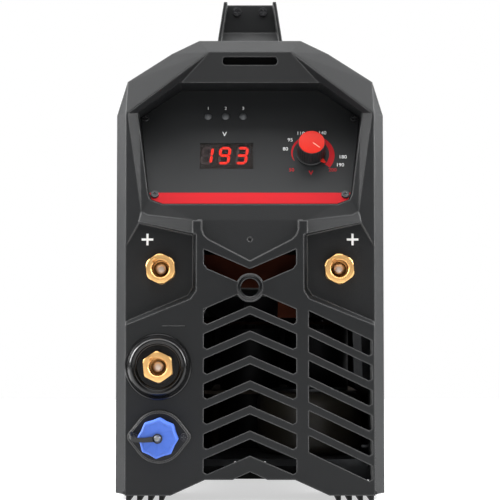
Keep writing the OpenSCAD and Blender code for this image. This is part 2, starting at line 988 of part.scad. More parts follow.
// a round bar across the panel's plane, from one depth to another
module panel_rod(x, z, from, to, r) {
  on_panel()
    rod(x, up_panel(z), from, to, r);
}
module panel_window(gap, from, to) {
  on_panel()
    translate([window_x - window_w / 2 + gap, from, up_panel(window_z) - window_h / 2 + gap])
      cube([window_w - 2 * gap, to - from, window_h - 2 * gap]);
}
module control_panel() {
  color("#4a4b4d")
    placed()
      difference() {
        intersection() {
          along_y(0, reach)
            polygon(inset(inner_outline, panel_gap));
          before_panel(panel_t);
        }
        before_panel(0);
        panel_window(0, -over, panel_t + over);
        for (x = lamp_xs)
          panel_rod(x, lamp_z, -over, panel_t + over, lamp_r + run_gap);
        panel_rod(knob_x, knob_z, -over, panel_t + over, bushing_r + bolt_gap);
        for (p = panel_screw_places)
          panel_rod(p[0], p[1], -over, panel_t + over, panel_screw_r + bolt_gap);
      }
}
module panel_screws() {
  color("#c9ccce")
    placed()
      for (p = panel_screw_places)
        on_panel()
          facing_front(p[0], 0, up_panel(p[1]))
            screw(panel_screw_head_r, panel_screw_head_h, panel_screw_r, panel_screw_l);
}
module display_window() {
  color("#222326")
    placed()
      panel_window(run_gap, 0, panel_t);
}
module display_module() {
  color("#151516")
    placed()
      panel_window(-module_side, panel_t, panel_t + board_gap);
}
module status_lamps() {
  color("#9b9d9f")
    placed()
      for (x = lamp_xs) {
        panel_rod(x, lamp_z, -lamp_proud, panel_t + board_gap, lamp_r);
        panel_rod(x, lamp_z, panel_t, panel_t + lamp_flange_t, lamp_r + lamp_flange);
      }
}
module control_board() {
  color("#2f6b3f")
    placed()
      on_panel()
        difference() {
          translate([-board_half, panel_t + board_gap, board_low])
            cube([2 * board_half, board_t, board_high - board_low]);
          for (x = [-1, 1])
            for (z = [board_low + pillar_in, board_high - pillar_in])
              rod(x * pillar_x, z, panel_t, panel_t + 2 * board_gap, panel_screw_r);
        }
}
module board_pillars() {
  color("#b8923f")
    placed()
      on_panel()
        for (x = [-1, 1])
          for (z = [board_low + pillar_in, board_high - pillar_in]) {
            facing_front(x * pillar_x, panel_t + board_gap, z)
              hexagon(pillar_af, board_gap);
            facing_rear(x * pillar_x, panel_t + board_gap, z)
              cylinder(h = 2 * board_t, r = panel_screw_r - run_gap);
          }
}
module potentiometer() {
  color("#6f7275")
    placed()
      difference() {
        union() {
          panel_rod(knob_x, knob_z, panel_t, panel_t + board_gap, pot_r);
          panel_rod(knob_x, knob_z, -bushing_l, panel_t + over, bushing_r);
        }
        panel_rod(knob_x, knob_z, -bushing_l - over, shaft_in + run_gap, shaft_r + run_gap);
      }
}
module potentiometer_nut() {
  color("#c3b27a")
    placed()
      on_panel()
        facing_front(knob_x, 0, up_panel(knob_z))
          difference() {
            hexagon(nut_af, nut_h);
            translate([0, 0, -over])
              cylinder(h = nut_h + 2 * over, r = bushing_r + run_gap);
          }
}
module knob_shaft() {
  color("#b9bcbe")
    placed()
      panel_rod(knob_x, knob_z, knob_roof - knob_top, shaft_in, shaft_r);
}
module knob_body() {
  color("#1b1b1c")
    placed()
      on_panel()
        facing_front(knob_x, 0, up_panel(knob_z))
          rotate([0, 0, -pointer_turn])
            difference() {
              union() {
                translate([0, 0, knob_lift])
                  cylinder(h = knob_h, r1 = knob_r, r2 = knob_r * knob_top_share);
                translate([0, 0, knob_lift])
                  linear_extrude(height = pointer_h)
                    polygon([[0, -pointer_w], [knob_r + pointer_out, 0], [0, pointer_w]]);
              }
              cylinder(h = knob_lift + knob_hollow, r = knob_hollow_r);
              cylinder(h = knob_top - knob_roof, r = shaft_r);
            }
}
module knob_cap() {
  color("#e8452f")
    placed()
      on_panel()
        facing_front(knob_x, -knob_top, up_panel(knob_z))
          cylinder(h = knob_cap_h, r = knob_r * knob_cap_r_share);
}

// welding sockets
socket_body_r = 9;
socket_body_l = 24;
socket_chamfer = 1.2;
socket_neck_r = 5.6;
socket_neck_l = 26;
key_w = 3.2;
key_out = 1.6;
key_l = 7;
socket_nut_af = 27;
socket_nut_h = 6;
bolt_r = 4;
bolt_af = 13;
bolt_head_h = 5.3;
bolt_tip = 1;
gun_proud = 9;
gun_seat = 2;
socket_turn = 35;
ring_flange_r = 24.5;
ring_rim_r = 19.4;
ring_rim_h = 7;
ring_dish_r = 15.5;
ring_slope = 1.6;
plus_hex_h = pocket_depth;

// a brass socket with its seat at the origin: hexagon forward (up), body back (down)
module brass_socket(hex_h) {
  difference() {
    union() {
      intersection() {
        hexagon(socket_af, hex_h);
        union() {
          cylinder(h = hex_h - socket_chamfer, r = socket_af);
          translate([0, 0, hex_h - socket_chamfer])
            cylinder(
              h = socket_chamfer,
              r1 = socket_af / 2 / cos(30),
              r2 = socket_af / 2 / cos(30) - 2 * socket_chamfer
            );
        }
      }
      translate([0, 0, -socket_body_l])
        cylinder(h = socket_body_l, r = socket_body_r);
    }
    translate([0, 0, hex_h - socket_bore_l])
      cylinder(h = socket_bore_l + over, r = socket_bore_r);
    translate([0, 0, hex_h - socket_neck_l])
      cylinder(h = socket_neck_l, r = socket_neck_r);
    translate([0, 0, -socket_body_l - over])
      cylinder(h = socket_body_l, r = bolt_r + bolt_gap);
    translate([-key_w / 2, 0, hex_h - key_l])
      cube([key_w, socket_bore_r + key_out, key_l + over]);
  }
}
module plus_socket_left() {
  color("#cda16a")
    placed()
      facing_front(-plus_x, pocket_depth, plus_z)
        rotate([0, 0, socket_turn])
          brass_socket(plus_hex_h);
}
module plus_socket_right() {
  color("#cda16a")
    placed()
      facing_front(plus_x, pocket_depth, plus_z)
        rotate([0, 0, socket_turn])
          brass_socket(plus_hex_h);
}
module gun_socket() {
  color("#cda16a")
    placed()
      facing_front(gun_x, -gun_seat, gun_z)
        rotate([0, 0, socket_turn])
          brass_socket(gun_proud - gun_seat);
}
module gun_socket_ring() {
  color("#17181a")
    placed()
      facing_front(gun_x, 0, gun_z)
        rotate_extrude()
          polygon([
            [socket_body_r + run_gap, -wall],
            [insulator_r, -wall],
            [insulator_r, 0],
            [ring_flange_r, 0],
            [ring_flange_r, ring_slope],
            [ring_rim_r + ring_slope, ring_rim_h - ring_slope],
            [ring_rim_r, ring_rim_h],
            [ring_rim_r - ring_slope, ring_rim_h],
            [ring_dish_r, gun_seat],
            [socket_body_r + run_gap, gun_seat]
          ]);
}
module socket_nut(x, y, z) {
  facing_rear(x, y, z)
    difference() {
      hexagon(socket_nut_af, socket_nut_h);
      translate([0, 0, -over])
        cylinder(h = socket_nut_h + 2 * over, r = socket_body_r + run_gap);
    }
}
plus_bar_y = pocket_depth + socket_body_l;
gun_bar_y = socket_body_l - gun_seat;
module socket_nuts() {
  color("#c1965f")
    placed() {
      for (x = [-1, 1])
        socket_nut(x * plus_x, pocket_depth + wall, plus_z);
      socket_nut(gun_x, wall, gun_z);
    }
}
// bolt from behind a bar, its tip in the socket's narrow end
module socket_bolt(x, bar_y, tip_y, z) {
  rod(x, z, tip_y, bar_y + bar_t, bolt_r);
  facing_rear(x, bar_y + bar_t, z)
    hexagon(bolt_af, bolt_head_h);
}
module socket_bolts() {
  color("#b9bcbf")
    placed() {
      for (x = [-1, 1])
        socket_bolt(x * plus_x, plus_bar_y, pocket_depth - plus_hex_h + socket_bore_l + bolt_tip, plus_z);
      socket_bolt(gun_x, gun_bar_y, socket_bore_l + bolt_tip - gun_proud, gun_z);
    }
}

// copper bars
bar_end = 12;
bar_low_z = 157;
bar_high_z = 182;
spine_w = 16;
strip_w = 12;
strip_t = 2;
post_r = 5;
post_minus_h = 4;
post_plus_h = 8;
post_off = 10;
can_r = can_share * body_w;
can_gap = 7;
can_pitch = 2 * can_r + can_gap;
can_y_share = 0.476;
can_y = can_y_share * body_l;
spine_x = can_pitch / 2;
can_rows = 3;
can_columns = 3;
can_top_z = base_top_z + can_h;
plus_level = can_top_z + post_plus_h;
minus_level = can_top_z + post_minus_h;
function can_row(i) = can_y + i * can_pitch;
function can_column(i) = (i - (can_columns - 1) / 2) * can_pitch;
can_span = can_pitch * (can_columns - 1) / 2 + strip_w;

module front_busbar() {
  color("#b4643c")
    placed()
      difference() {
        along_y(plus_bar_y, plus_bar_y + bar_t) {
          translate([-plus_x - bar_end, bar_low_z])
            square([2 * (plus_x + bar_end), bar_high_z - bar_low_z]);
          translate([spine_x - spine_w / 2, plus_level])
            square([spine_w, bar_high_z - plus_level]);
        }
        for (x = [-1, 1])
          rod(x * plus_x, plus_z, plus_bar_y - over, plus_bar_y + bar_t + over, bolt_r + bolt_gap);
      }
}
module bus_strips(level, off) {
  for (i = [0:can_rows - 1])
    translate([-can_span, can_row(i) + off - strip_w / 2, level])
      cube([2 * can_span, strip_w, strip_t]);
}
module bus_plus() {
  color("#b4643c")
    placed() {
      bus_strips(plus_level, post_off);
      translate([spine_x - spine_w / 2, plus_bar_y + bar_t, plus_level])
        cube([spine_w, can_row(can_rows - 1) + post_off - plus_bar_y - bar_t, strip_t]);
    }
}
module bus_minus() {
  color("#b4643c")
    placed() {
      bus_strips(minus_level, -post_off);
      translate([-spine_x - spine_w / 2, link_y, minus_level])
        cube([spine_w, can_row(can_rows - 1) - post_off - link_y, strip_t]);
      translate([gun_x - spine_w / 2, link_y, minus_level])
        cube([-spine_x + spine_w - gun_x, strip_w, strip_t]);
      translate([gun_x - spine_w / 2, link_y, thyristor_top_z])
        cube([spine_w, strip_t, minus_level - thyristor_top_z]);
    }
}
module capacitors() {
  color("#30343a")
    placed()
      for (i = [0:can_columns - 1])
        for (j = [0:can_rows - 1])
          translate([can_column(i), can_row(j), base_top_z]) {
            cylinder(h = can_h, r = can_r);
            translate([0, post_off, can_h])
              cylinder(h = post_plus_h, r = post_r);
            translate([0, -post_off, can_h])
              cylinder(h = post_minus_h, r = post_r);
          }
}
hold_z = 72;
hold_t = 3;
hold_post_r = 5;
hold_gap = 5.8;
hold_half = inner_half - hold_gap;
module capacitor_clamp() {
  color("#8c6b3f")
    placed() {
      difference() {
        translate([-hold_half, can_y - can_pitch / 2, hold_z])
          cube([2 * hold_half, can_rows * can_pitch, hold_t]);
        for (i = [0:can_columns - 1])
          for (j = [0:can_rows - 1])
            translate([can_column(i), can_row(j), hold_z - over])
              cylinder(h = hold_t + 2 * over, r = can_r + bolt_gap);
      }
      for (x = [-1, 1])
        for (j = [0:can_rows - 2])
          translate([x * can_pitch / 2, can_row(j) + can_pitch / 2, base_top_z])
            cylinder(h = hold_z - base_top_z, r = hold_post_r);
    }
}

// discharge thyristor on its heat sink
sink_y_share = 0.19;
sink_y = sink_y_share * body_l;
sink_l_share = 1 / 6;
sink_l = sink_l_share * body_l;
sink_w = 40;
sink_h = 60;
sink_plate = 12;
fin_count = 8;
fin_t = 2.5;
thyristor_w = 30;
thyristor_h = 25;
thyristor_in = 5;
thyristor_l = sink_l - 2 * thyristor_in;
terminal_h = 3;
terminal_l = 12;
terminal_in = 2;
link_in = thyristor_l - terminal_l - terminal_in;
sink_top_z = base_top_z + sink_h;
thyristor_top_z = sink_top_z + thyristor_h + terminal_h;
thyristor_y = sink_y + thyristor_in;
link_y = thyristor_y + link_in;
module heat_sink() {
  color("#b6babd")
    placed()
      translate([gun_x - sink_w / 2, sink_y, base_top_z]) {
        translate([0, 0, sink_h - sink_plate])
          cube([sink_w, sink_l, sink_plate]);
        for (i = [0:fin_count - 1])
          translate([i * (sink_w - fin_t) / (fin_count - 1), 0, 0])
            cube([fin_t, sink_l, sink_h - sink_plate]);
      }
}
module thyristor() {
  color("#26282b")
    placed()
      translate([gun_x - thyristor_w / 2, thyristor_y, sink_top_z]) {
        cube([thyristor_w, thyristor_l, thyristor_h]);
        for (y = [0, link_in])
          translate([thyristor_w / 2 - terminal_l / 2, y, thyristor_h])
            cube([terminal_l, terminal_l, terminal_h]);
      }
}
gun_bar_half = 10;
gun_bar_down = 12;
module gun_busbar() {
  color("#b4643c")
    placed()
      difference() {
        union() {
          along_y(gun_bar_y, gun_bar_y + bar_t)
            translate([gun_x - gun_bar_half, gun_z - gun_bar_down])
              square([2 * gun_bar_half, thyristor_top_z + bar_t - gun_z + gun_bar_down]);
          translate([gun_x - gun_bar_half, gun_bar_y, thyristor_top_z])
            cube([2 * gun_bar_half, thyristor_y + terminal_l - gun_bar_y, bar_t]);
        }
        rod(gun_x, gun_z, gun_bar_y - over, gun_bar_y + bar_t + over, bolt_r + bolt_gap);
      }
}

// charging transformer and board
coil_x_share = 0.24;
coil_x = coil_x_share * body_w;
coil_y_share = 0.2976;
coil_y = coil_y_share * body_l;
coil_w_share = 0.21;
coil_l_share = 0.1;
coil_r = min(coil_w_share * body_w, coil_l_share * body_l);
coil_hole_r = 14;
coil_h = 50;
coil_round = 9;
hold_bolt_r = 4;
hold_disc_r = 30;
hold_disc_t = 2;
module transformer() {
  color("#c9a227")
    placed()
      translate([coil_x, coil_y, base_top_z])
        rotate_extrude()
          translate([(coil_r + coil_hole_r) / 2, coil_h / 2])
            rounded_box(coil_r - coil_hole_r, coil_h, coil_round);
}
module transformer_clamp() {
  color("#a9adb0")
    placed()
      translate([coil_x, coil_y, base_top_z]) {
        translate([0, 0, coil_h])
          cylinder(h = hold_disc_t, r = hold_disc_r);
        translate([0, 0, coil_h + hold_disc_t])
          hexagon(bolt_af, bolt_head_h);
        translate([0, 0, -base_t])
          cylinder(h = coil_h + base_t, r = hold_bolt_r);
        translate([0, 0, -base_t - bolt_head_h])
          hexagon(bolt_af, bolt_head_h);
      }
}
deck_top_z = deck_z + base_t;
power_ends = 68;
power_l = deck_l - power_ends;
power_y = 150;
power_in = 25.8;
power_gap = 4.5;
power_x = power_in - inner_half;
resistor_in = 17.8;
resistor_x = inner_half - resistor_in;
resistor_foot_w = 27;
power_w = resistor_x - resistor_foot_w / 2 - power_gap - power_x;
power_lift = 8;
power_pillar_in = 6;
module power_board() {
  color("#2f6b3f")
    placed()
      translate([power_x, power_y, deck_top_z + power_lift])
        difference() {
          cube([power_w, power_l, board_t]);
          for (x = [power_pillar_in, power_w - power_pillar_in])
            for (y = [power_pillar_in, power_l - power_pillar_in])
              translate([x, y, -over])
                cylinder(h = board_t + 2 * over, r = panel_screw_r);
        }
}
module power_pillars() {
  color("#b8923f")
    placed()
      translate([power_x, power_y, deck_top_z])
        for (x = [power_pillar_in, power_w - power_pillar_in])
          for (y = [power_pillar_in, power_l - power_pillar_in])
            translate([x, y, 0]) {
              hexagon(pillar_af, power_lift);
              cylinder(h = power_lift + 2 * board_t, r = panel_screw_r - run_gap);
            }
}
resistor_y = 190;
resistor_l = 70;
resistor_w = 16;
resistor_h = 15;
resistor_foot_t = 2.5;
module bleed_resistor() {
  color("#c49a3a")
    placed()
      translate([resistor_x, resistor_y, deck_top_z]) {
        translate([-resistor_foot_w / 2, 0, 0])
          cube([resistor_foot_w, resistor_l, resistor_foot_t]);
        translate([-resistor_w / 2, 0, resistor_foot_t])
          cube([resistor_w, resistor_l, resistor_h - resistor_foot_t]);
      }
}

// control connector, screw cap and strap
flange_half_w = 23.2;
flange_half_h = 19.3;
flange_flat_h = 5;
flange_flat_w = 8;
shell_flange = 3;
barrel_end = 17;
shell_back = 16;
shell_bore_r = 9.5;
shell_floor = 5;
insert_t = 4;
pin_count = 5;
pin_r = 0.9;
pin_ring = 5.5;
pin_l = 5;
connector_head_r = 2.8;
connector_head_h = 1.8;
connector_screw_l = 9;
cap_skirt = 5;
cap_front = 22;
cap_wall = 3;
cap_round = 0.8;
lobe_count = 8;
lobe_r = 3.6;
rivet_r = 1.8;
rivet_head_r = 2.7;
rivet_head_h = 1.5;
rivet_foot_h = 0.9;
strap_t = 1.4;
strap_w = 5;
strap_eye_r = 4.1;
strap_out = 24;
strap_front = cap_front + seat_gap + strap_t;

module connector_shell() {
  color("#26282a")
    placed()
      facing_front(connector_x, 0, connector_z)
        difference() {
          union() {
            linear_extrude(height = shell_flange)
              polygon(mirrored([
                [flange_flat_w, -flange_half_h],
                [flange_half_w, -flange_flat_h],
                [flange_half_w, flange_flat_h],
                [flange_flat_w, flange_half_h]
              ]));
            translate([0, 0, -shell_back])
              cylinder(h = shell_back, r = shell_r);
            cylinder(h = barrel_end, r = barrel_r);
          }
          translate([0, 0, shell_floor])
            cylinder(h = barrel_end, r = shell_bore_r);
          for (x = [-1, 1])
            translate([x * connector_screw_span, 0, -over])
              cylinder(h = shell_flange + 2 * over, r = connector_screw_r + bolt_gap);
        }
}
module connector_insert() {
  color("#8f9294")
    placed()
      facing_front(connector_x, -shell_floor, connector_z) {
        cylinder(h = insert_t, r = shell_bore_r - run_gap);
        for (i = [0:pin_count - 1])
          rotate([0, 0, i * 360 / pin_count])
            translate([pin_ring, 0, insert_t - over])
              cylinder(h = pin_l + over, r = pin_r);
      }
}
module connector_screws() {
  color("#bfc2c4")
    placed() {
      facing_front(connector_x + connector_screw_span, -shell_flange, connector_z)
        screw(connector_head_r, connector_head_h, connector_screw_r, connector_screw_l);
      facing_front(connector_x - connector_screw_span, -shell_flange - strap_t, connector_z)
        screw(connector_head_r, connector_head_h, connector_screw_r, connector_screw_l);
    }
}
module connector_cap() {
  color("#5e83d8")
    placed()
      facing_front(connector_x, -cap_skirt, connector_z)
        difference() {
          union() {
            cylinder(h = cap_front - cap_skirt, r = cap_r - cap_round);
            for (i = [0:lobe_count - 1])
              rotate([0, 0, (i + 1 / 2) * 360 / lobe_count])
                translate([cap_r - lobe_r, 0, 0])
                  cylinder(h = cap_front - cap_skirt, r = lobe_r);
          }
          translate([0, 0, -over])
            cylinder(h = cap_front - cap_skirt - cap_wall + over, r = barrel_r + run_gap);
          cylinder(h = cap_front, r = rivet_r + run_gap);
        }
}
module cap_strap() {
  color("#2a2b2d")
    placed()
      translate([connector_x, 0, connector_z])
        difference() {
          union() {
            translate([0, 0, -strap_w / 2])
              linear_extrude(height = strap_w)
                polygon([
                  [-connector_screw_span, -shell_flange],
                  [-connector_screw_span, -shell_flange - strap_t],
                  [-strap_out + strap_t, -shell_flange - strap_t],
                  [-strap_out + strap_t, -cap_front - seat_gap],
                  [0, -cap_front - seat_gap],
                  [0, -cap_front - seat_gap - strap_t],
                  [-strap_out, -cap_front - seat_gap - strap_t],
                  [-strap_out, -shell_flange]
                ]);
            rod(-connector_screw_span, 0, -shell_flange - strap_t, -shell_flange, strap_eye_r);
            rod(0, 0, -cap_front - seat_gap - strap_t, -cap_front - seat_gap, strap_eye_r);
          }
          rod(-connector_screw_span, 0, -cap_skirt, 0, connector_screw_r + bolt_gap);
          rod(0, 0, -cap_front - 2 * cap_wall, -cap_front, rivet_r + 2 * run_gap);
        }
}
module cap_rivet() {
  color("#b7babc")
    placed()
      facing_front(connector_x, 0, connector_z) {
        translate([0, 0, cap_front - cap_wall])
          cylinder(h = strap_front - cap_front + cap_wall, r = rivet_r);
        translate([0, 0, strap_front])
          cylinder(h = rivet_head_h, r1 = rivet_head_r, r2 = rivet_r);
        translate([0, 0, cap_front - cap_wall - rivet_foot_h])
          cylinder(h = rivet_foot_h, r = rivet_head_r);
      }
}

// fan
hub_r = 20;
hub_l = 7;
strut_w = 6;
strut_t = 4;
spindle_r = 2;
spindle_l = 12;
rotor_hub_r = 19;
rotor_l = 13;
blade_t = 1.6;
blade_lap = 1.5;
blade_pitch = 11.5;
blade_gap = 2;
rotor_gap = 1.5;
fan_y = body_l - wall - fan_l;
module fan_frame() {
  color("#1c1d1f")
    placed() {
      difference() {
        along_y(fan_y, fan_y + fan_l)
          translate([0, fan_z])
            square([fan_w, fan_w], center = true);
        rod(0, fan_z, fan_y - over, fan_y + fan_l + over, fan_bore_r);
        for (x = [-1, 1])
          for (z = [-1, 1])
            rod(
              x * fan_hole, fan_z + z * fan_hole, fan_y - over, fan_y + fan_l + over,
              fan_screw_r + bolt_gap
            );
      }
      rod(0, fan_z, fan_y, fan_y + hub_l, hub_r);
      rod(0, fan_z, fan_y, fan_y + hub_l + spindle_l, spindle_r);
      for (turn = [45, 135])
        translate([0, fan_y, fan_z])
          rotate([0, turn, 0])
            translate([-fan_bore_r - over, 0, -strut_w / 2])
              cube([2 * (fan_bore_r + over), strut_t, strut_w]);
    }
}
rotor_y = fan_y + hub_l + rotor_gap;
// half width of a blade per length from the axis, so that blades lap by twice blade_lap from behind
blade_half = tan(180 / blade_count) / cos(blade_pitch);
module fan_rotor() {
  color("#232427")
    placed()
      difference() {
        union() {
          rod(0, fan_z, rotor_y, rotor_y + rotor_l, rotor_hub_r);
          intersection() {
            rod(0, fan_z, rotor_y, rotor_y + rotor_l, fan_bore_r - blade_gap);
            for (i = [0:blade_count - 1])
              translate([0, rotor_y + rotor_l / 2, fan_z])
                rotate([0, i * 360 / blade_count, 0])
                  rotate([blade_pitch, 0, 0])
                    along_y(-blade_t / 2, blade_t / 2)
                      polygon([
                        [0, -blade_lap],
                        [fan_w, -fan_w * blade_half - blade_lap],
                        [fan_w, fan_w * blade_half + blade_lap],
                        [0, blade_lap]
                      ]);
          }
        }
        rod(0, fan_z, rotor_y - over, rotor_y + spindle_l, spindle_r + run_gap);
      }
}
guard_bar = 2.2;
guard_t = 2.4;
guard_ring_t = 1.6;
guard_lift = 0.3;
guard_spoke_t = 1.2;
guard_ring_count = 4;
guard_in_r = 15;
guard_eye_r = 5;
module fan_guard() {
  guard_step = (fan_bore_r - guard_in_r) / (guard_ring_count - 1);
  guard_arm = fan_hole * sqrt(2);
  color("#c5c8ca")
    placed()
      difference() {
        union() {
          for (i = [0:guard_ring_count - 1])
            facing_rear(0, body_l, fan_z)
              rotate_extrude()
                translate([guard_in_r + i * guard_step - guard_bar / 2, guard_t - guard_ring_t])
                  square([guard_bar, guard_ring_t]);
          for (turn = [45, 135])
            translate([0, body_l + guard_lift, fan_z])
              rotate([0, turn, 0])
                translate([-guard_arm, 0, -guard_bar / 2])
                  cube([2 * guard_arm, guard_spoke_t, guard_bar]);
          for (x = [-1, 1])
            for (z = [-1, 1])
              rod(x * fan_hole, fan_z + z * fan_hole, body_l, body_l + guard_t, guard_eye_r);
        }
        for (x = [-1, 1])
          for (z = [-1, 1])
            rod(
              x * fan_hole, fan_z + z * fan_hole, body_l - over, body_l + guard_t + over,
              fan_screw_r + bolt_gap
            );
      }
}
module fan_screws() {
  color("#b9bcbf")
    placed()
      for (x = [-1, 1])
        for (z = [-1, 1])
          facing_rear(x * fan_hole, body_l + guard_t, fan_z + z * fan_hole)
            screw(screw_head_r, screw_head_h, fan_screw_r, fan_l + wall);
}

// mains switch
switch_lip = 1.6;
switch_lip_t = 2;
switch_back = 18;
rocker_w = 12;
rocker_half = 11.2;
rocker_room = 12.8;
rocker_room_l = 12;
rocker_side = 0.4;
rocker_end = 5.5;
rocker_mid = 3.2;
rocker_base = 4;
pivot_in = 2;
trunnion_r = 1.5;
trunnion_l = 1.6;
blade_terminal_w = 6.3;
blade_terminal_t = 0.8;
blade_terminal_l = 9;
pivot_y = body_l + switch_lip_t - pivot_in;
module switch_housing() {
  color("#1a1b1c")
    placed()
      difference() {
        union() {
          along_y(body_l - wall - switch_back, body_l)
            translate([switch_x, switch_z])
              square([switch_w, switch_h], center = true);
          along_y(body_l, body_l + switch_lip_t)
            translate([switch_x, switch_z])
              square([switch_w + 2 * switch_lip, switch_h + 2 * switch_lip], center = true);
          for (z = [-1, 1])
            translate([
              switch_x - blade_terminal_w / 2,
              body_l - wall - switch_back - blade_terminal_l,
              switch_z + z * rocker_half / 2
            ])
              cube([blade_terminal_w, blade_terminal_l + over, blade_terminal_t]);
        }
        along_y(body_l + switch_lip_t - rocker_room_l, body_l + switch_lip_t + over)
          translate([switch_x, switch_z])
            square([rocker_w + 2 * rocker_side, 2 * rocker_room], center = true);
        facing_right(switch_x - rocker_w / 2 - trunnion_l - seat_gap, pivot_y, switch_z)
          cylinder(h = rocker_w + 2 * (trunnion_l + seat_gap), r = trunnion_r + run_gap);
      }
}
module switch_rocker() {
  color("#b3261e")
    placed()
      translate([switch_x, pivot_y, switch_z])
        rotate([rocker_swing / 2, 0, 0]) {
          along_x(-rocker_w / 2, rocker_w / 2)
            polygon([
              [-rocker_base, -rocker_half],
              [rocker_end, -rocker_half],
              [rocker_mid, 0],
              [rocker_end, rocker_half],
              [-rocker_base, rocker_half]
            ]);
          facing_right(-rocker_w / 2 - trunnion_l, 0, 0)
            cylinder(h = rocker_w + 2 * trunnion_l, r = trunnion_r);
        }
}

// cable gland
gland_af = 24;
gland_flange = 5;
gland_neck_l = 9;
gland_stub_r = 9;
gland_stub_l = 9;
gland_dome_hex = 8;
gland_reach = 25;
gland_nose_r = 8.5;
gland_inner_r = 6;
locknut_af = 26;
locknut_h = 5;
module gland_body() {
  color("#212224")
    placed()
      facing_rear(gland_x, body_l, gland_z)
        difference() {
          union() {
            hexagon(gland_af, gland_flange);
            translate([0, 0, -wall - gland_neck_l])
              cylinder(h = wall + gland_neck_l, r = gland_neck_r);
            cylinder(h = gland_flange + gland_stub_l, r = gland_stub_r);
          }
          translate([0, 0, -wall - gland_neck_l - over])
            cylinder(h = reach, r = gland_inner_r);
        }
}
module gland_dome() {
  stub_room = gland_stub_l + run_gap;
  color("#212224")
    placed()
      facing_rear(gland_x, body_l + gland_flange, gland_z)
        difference() {
          union() {
            hexagon(gland_af, gland_dome_hex);
            cylinder(h = gland_reach - gland_flange, r1 = gland_af / 2, r2 = gland_nose_r);
          }
          translate([0, 0, -over])
            cylinder(h = stub_room + over, r = gland_stub_r + run_gap);
          cylinder(h = gland_reach, r = gland_bore_r);
        }
}
module gland_locknut() {
  color("#212224")
    placed()
      facing_front(gland_x, body_l - wall, gland_z)
        difference() {
          hexagon(locknut_af, locknut_h);
          translate([0, 0, -over])
            cylinder(h = locknut_h + 2 * over, r = gland_neck_r + run_gap);
        }
}

// middle of the part's length at the row's origin
front_reach = strap_front + rivet_head_h;
y_shift = -(body_l + gland_reach - front_reach) / 2;

front_cover();
rear_cover();
case_wrap();
base_plate();
deck_plate();
rubber_feet();
cover_screws();
case_screws();
handle_bracket_front();
handle_bracket_rear();
handle_grip();
handle_screws();
bracket_bolts();
control_panel();
panel_screws();
display_window();
display_module();
status_lamps();
control_board();
board_pillars();
potentiometer();
potentiometer_nut();
knob_shaft();
knob_body();
knob_cap();
plus_socket_left();
plus_socket_right();
gun_socket_ring();
gun_socket();
socket_nuts();
socket_bolts();
front_busbar();
gun_busbar();
connector_shell();
connector_insert();
connector_screws();
connector_cap();
cap_strap();
cap_rivet();
capacitors();
capacitor_clamp();
bus_plus();
bus_minus();
heat_sink();
thyristor();
transformer();
transformer_clamp();
power_board();
power_pillars();
bleed_resistor();
fan_frame();
fan_rotor();
fan_guard();
fan_screws();
switch_housing();
switch_rocker();
gland_body();
gland_dome();
gland_locknut();
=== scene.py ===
"""Looks of a capacitor-discharge stud welder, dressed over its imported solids.

Sizes are millimetres, in the machine's own frame: X across, Y from front to rear, Z up from the floor.
Only a placing matrix turns them into the metres that the frame uses.
"""

import json
import logging
import math
from dataclasses import dataclass
from enum import Enum
from typing import ClassVar, Iterable, Sequence

import bmesh
import bpy
from mathutils import Matrix, Vector


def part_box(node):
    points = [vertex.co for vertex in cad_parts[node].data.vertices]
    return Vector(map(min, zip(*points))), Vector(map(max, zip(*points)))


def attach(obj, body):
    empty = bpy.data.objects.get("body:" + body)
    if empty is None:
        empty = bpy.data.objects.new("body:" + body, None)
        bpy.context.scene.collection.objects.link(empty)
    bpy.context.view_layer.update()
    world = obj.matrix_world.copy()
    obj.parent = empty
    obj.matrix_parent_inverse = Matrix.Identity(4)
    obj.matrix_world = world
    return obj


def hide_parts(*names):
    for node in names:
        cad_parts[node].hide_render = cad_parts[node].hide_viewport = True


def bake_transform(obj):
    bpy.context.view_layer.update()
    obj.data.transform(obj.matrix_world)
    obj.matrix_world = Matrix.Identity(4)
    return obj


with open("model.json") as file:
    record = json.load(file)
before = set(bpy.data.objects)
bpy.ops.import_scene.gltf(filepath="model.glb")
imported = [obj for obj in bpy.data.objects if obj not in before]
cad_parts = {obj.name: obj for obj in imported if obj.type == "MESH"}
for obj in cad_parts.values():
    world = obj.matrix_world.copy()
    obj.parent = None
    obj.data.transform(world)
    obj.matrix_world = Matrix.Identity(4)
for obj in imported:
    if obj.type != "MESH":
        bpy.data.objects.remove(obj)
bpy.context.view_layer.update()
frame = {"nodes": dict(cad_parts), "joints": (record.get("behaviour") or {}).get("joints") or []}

MM = 0.001
SAME_POINT = 1e-9
SAME_LOOP_POINT = 1e-8
TIP_R = 0.05
SHARP_ANGLE = 32.0
CAPITAL_SHARE = 0.7
CORNER_POINTS = 7
GLOSS_SPREAD = 0.06
# How far edges are lightened towards white: partly wear, partly a painted highlight along edges.
WEAR_AND_HIGHLIGHT_LIFT = 0.25
EDGE_LEANS = (0.99, 0.8)
MACHINE = "machine"
LOG = logging.getLogger("stud_welder")

Color = tuple[float, float, float]
Point2 = tuple[float, float]
Point3 = tuple[float, float, float]


def tone(red: float, green: float, blue: float) -> Color:
    """Turns a colour as seen on a screen into the linear light that shaders use.

    Args:
        red: Red, 0 to 255.
        green: Green, 0 to 255.
        blue: Blue, 0 to 255.

    Returns:
        The linear colour, 0 to 1.
    """
    def linear(value: float) -> float:
        """Undoes the screen's curve for one channel."""
        share = value / 255
        return share / 12.92 if share <= 0.04045 else ((share + 0.055) / 1.055) ** 2.4

    return linear(red), linear(green), linear(blue)


class Facing(Enum):
    """Where the local Z axis of a placed shape points; its local Y axis points up."""

    FRONT = (90, 0)
    REAR = (90, 180)

    def turn(self) -> Matrix:
        """Returns the rotation from the shape's own axes."""
        lean, spin = self.value
        return Matrix.Rotation(math.radians(spin), 4, "Z") @ Matrix.Rotation(math.radians(lean), 4, "X")


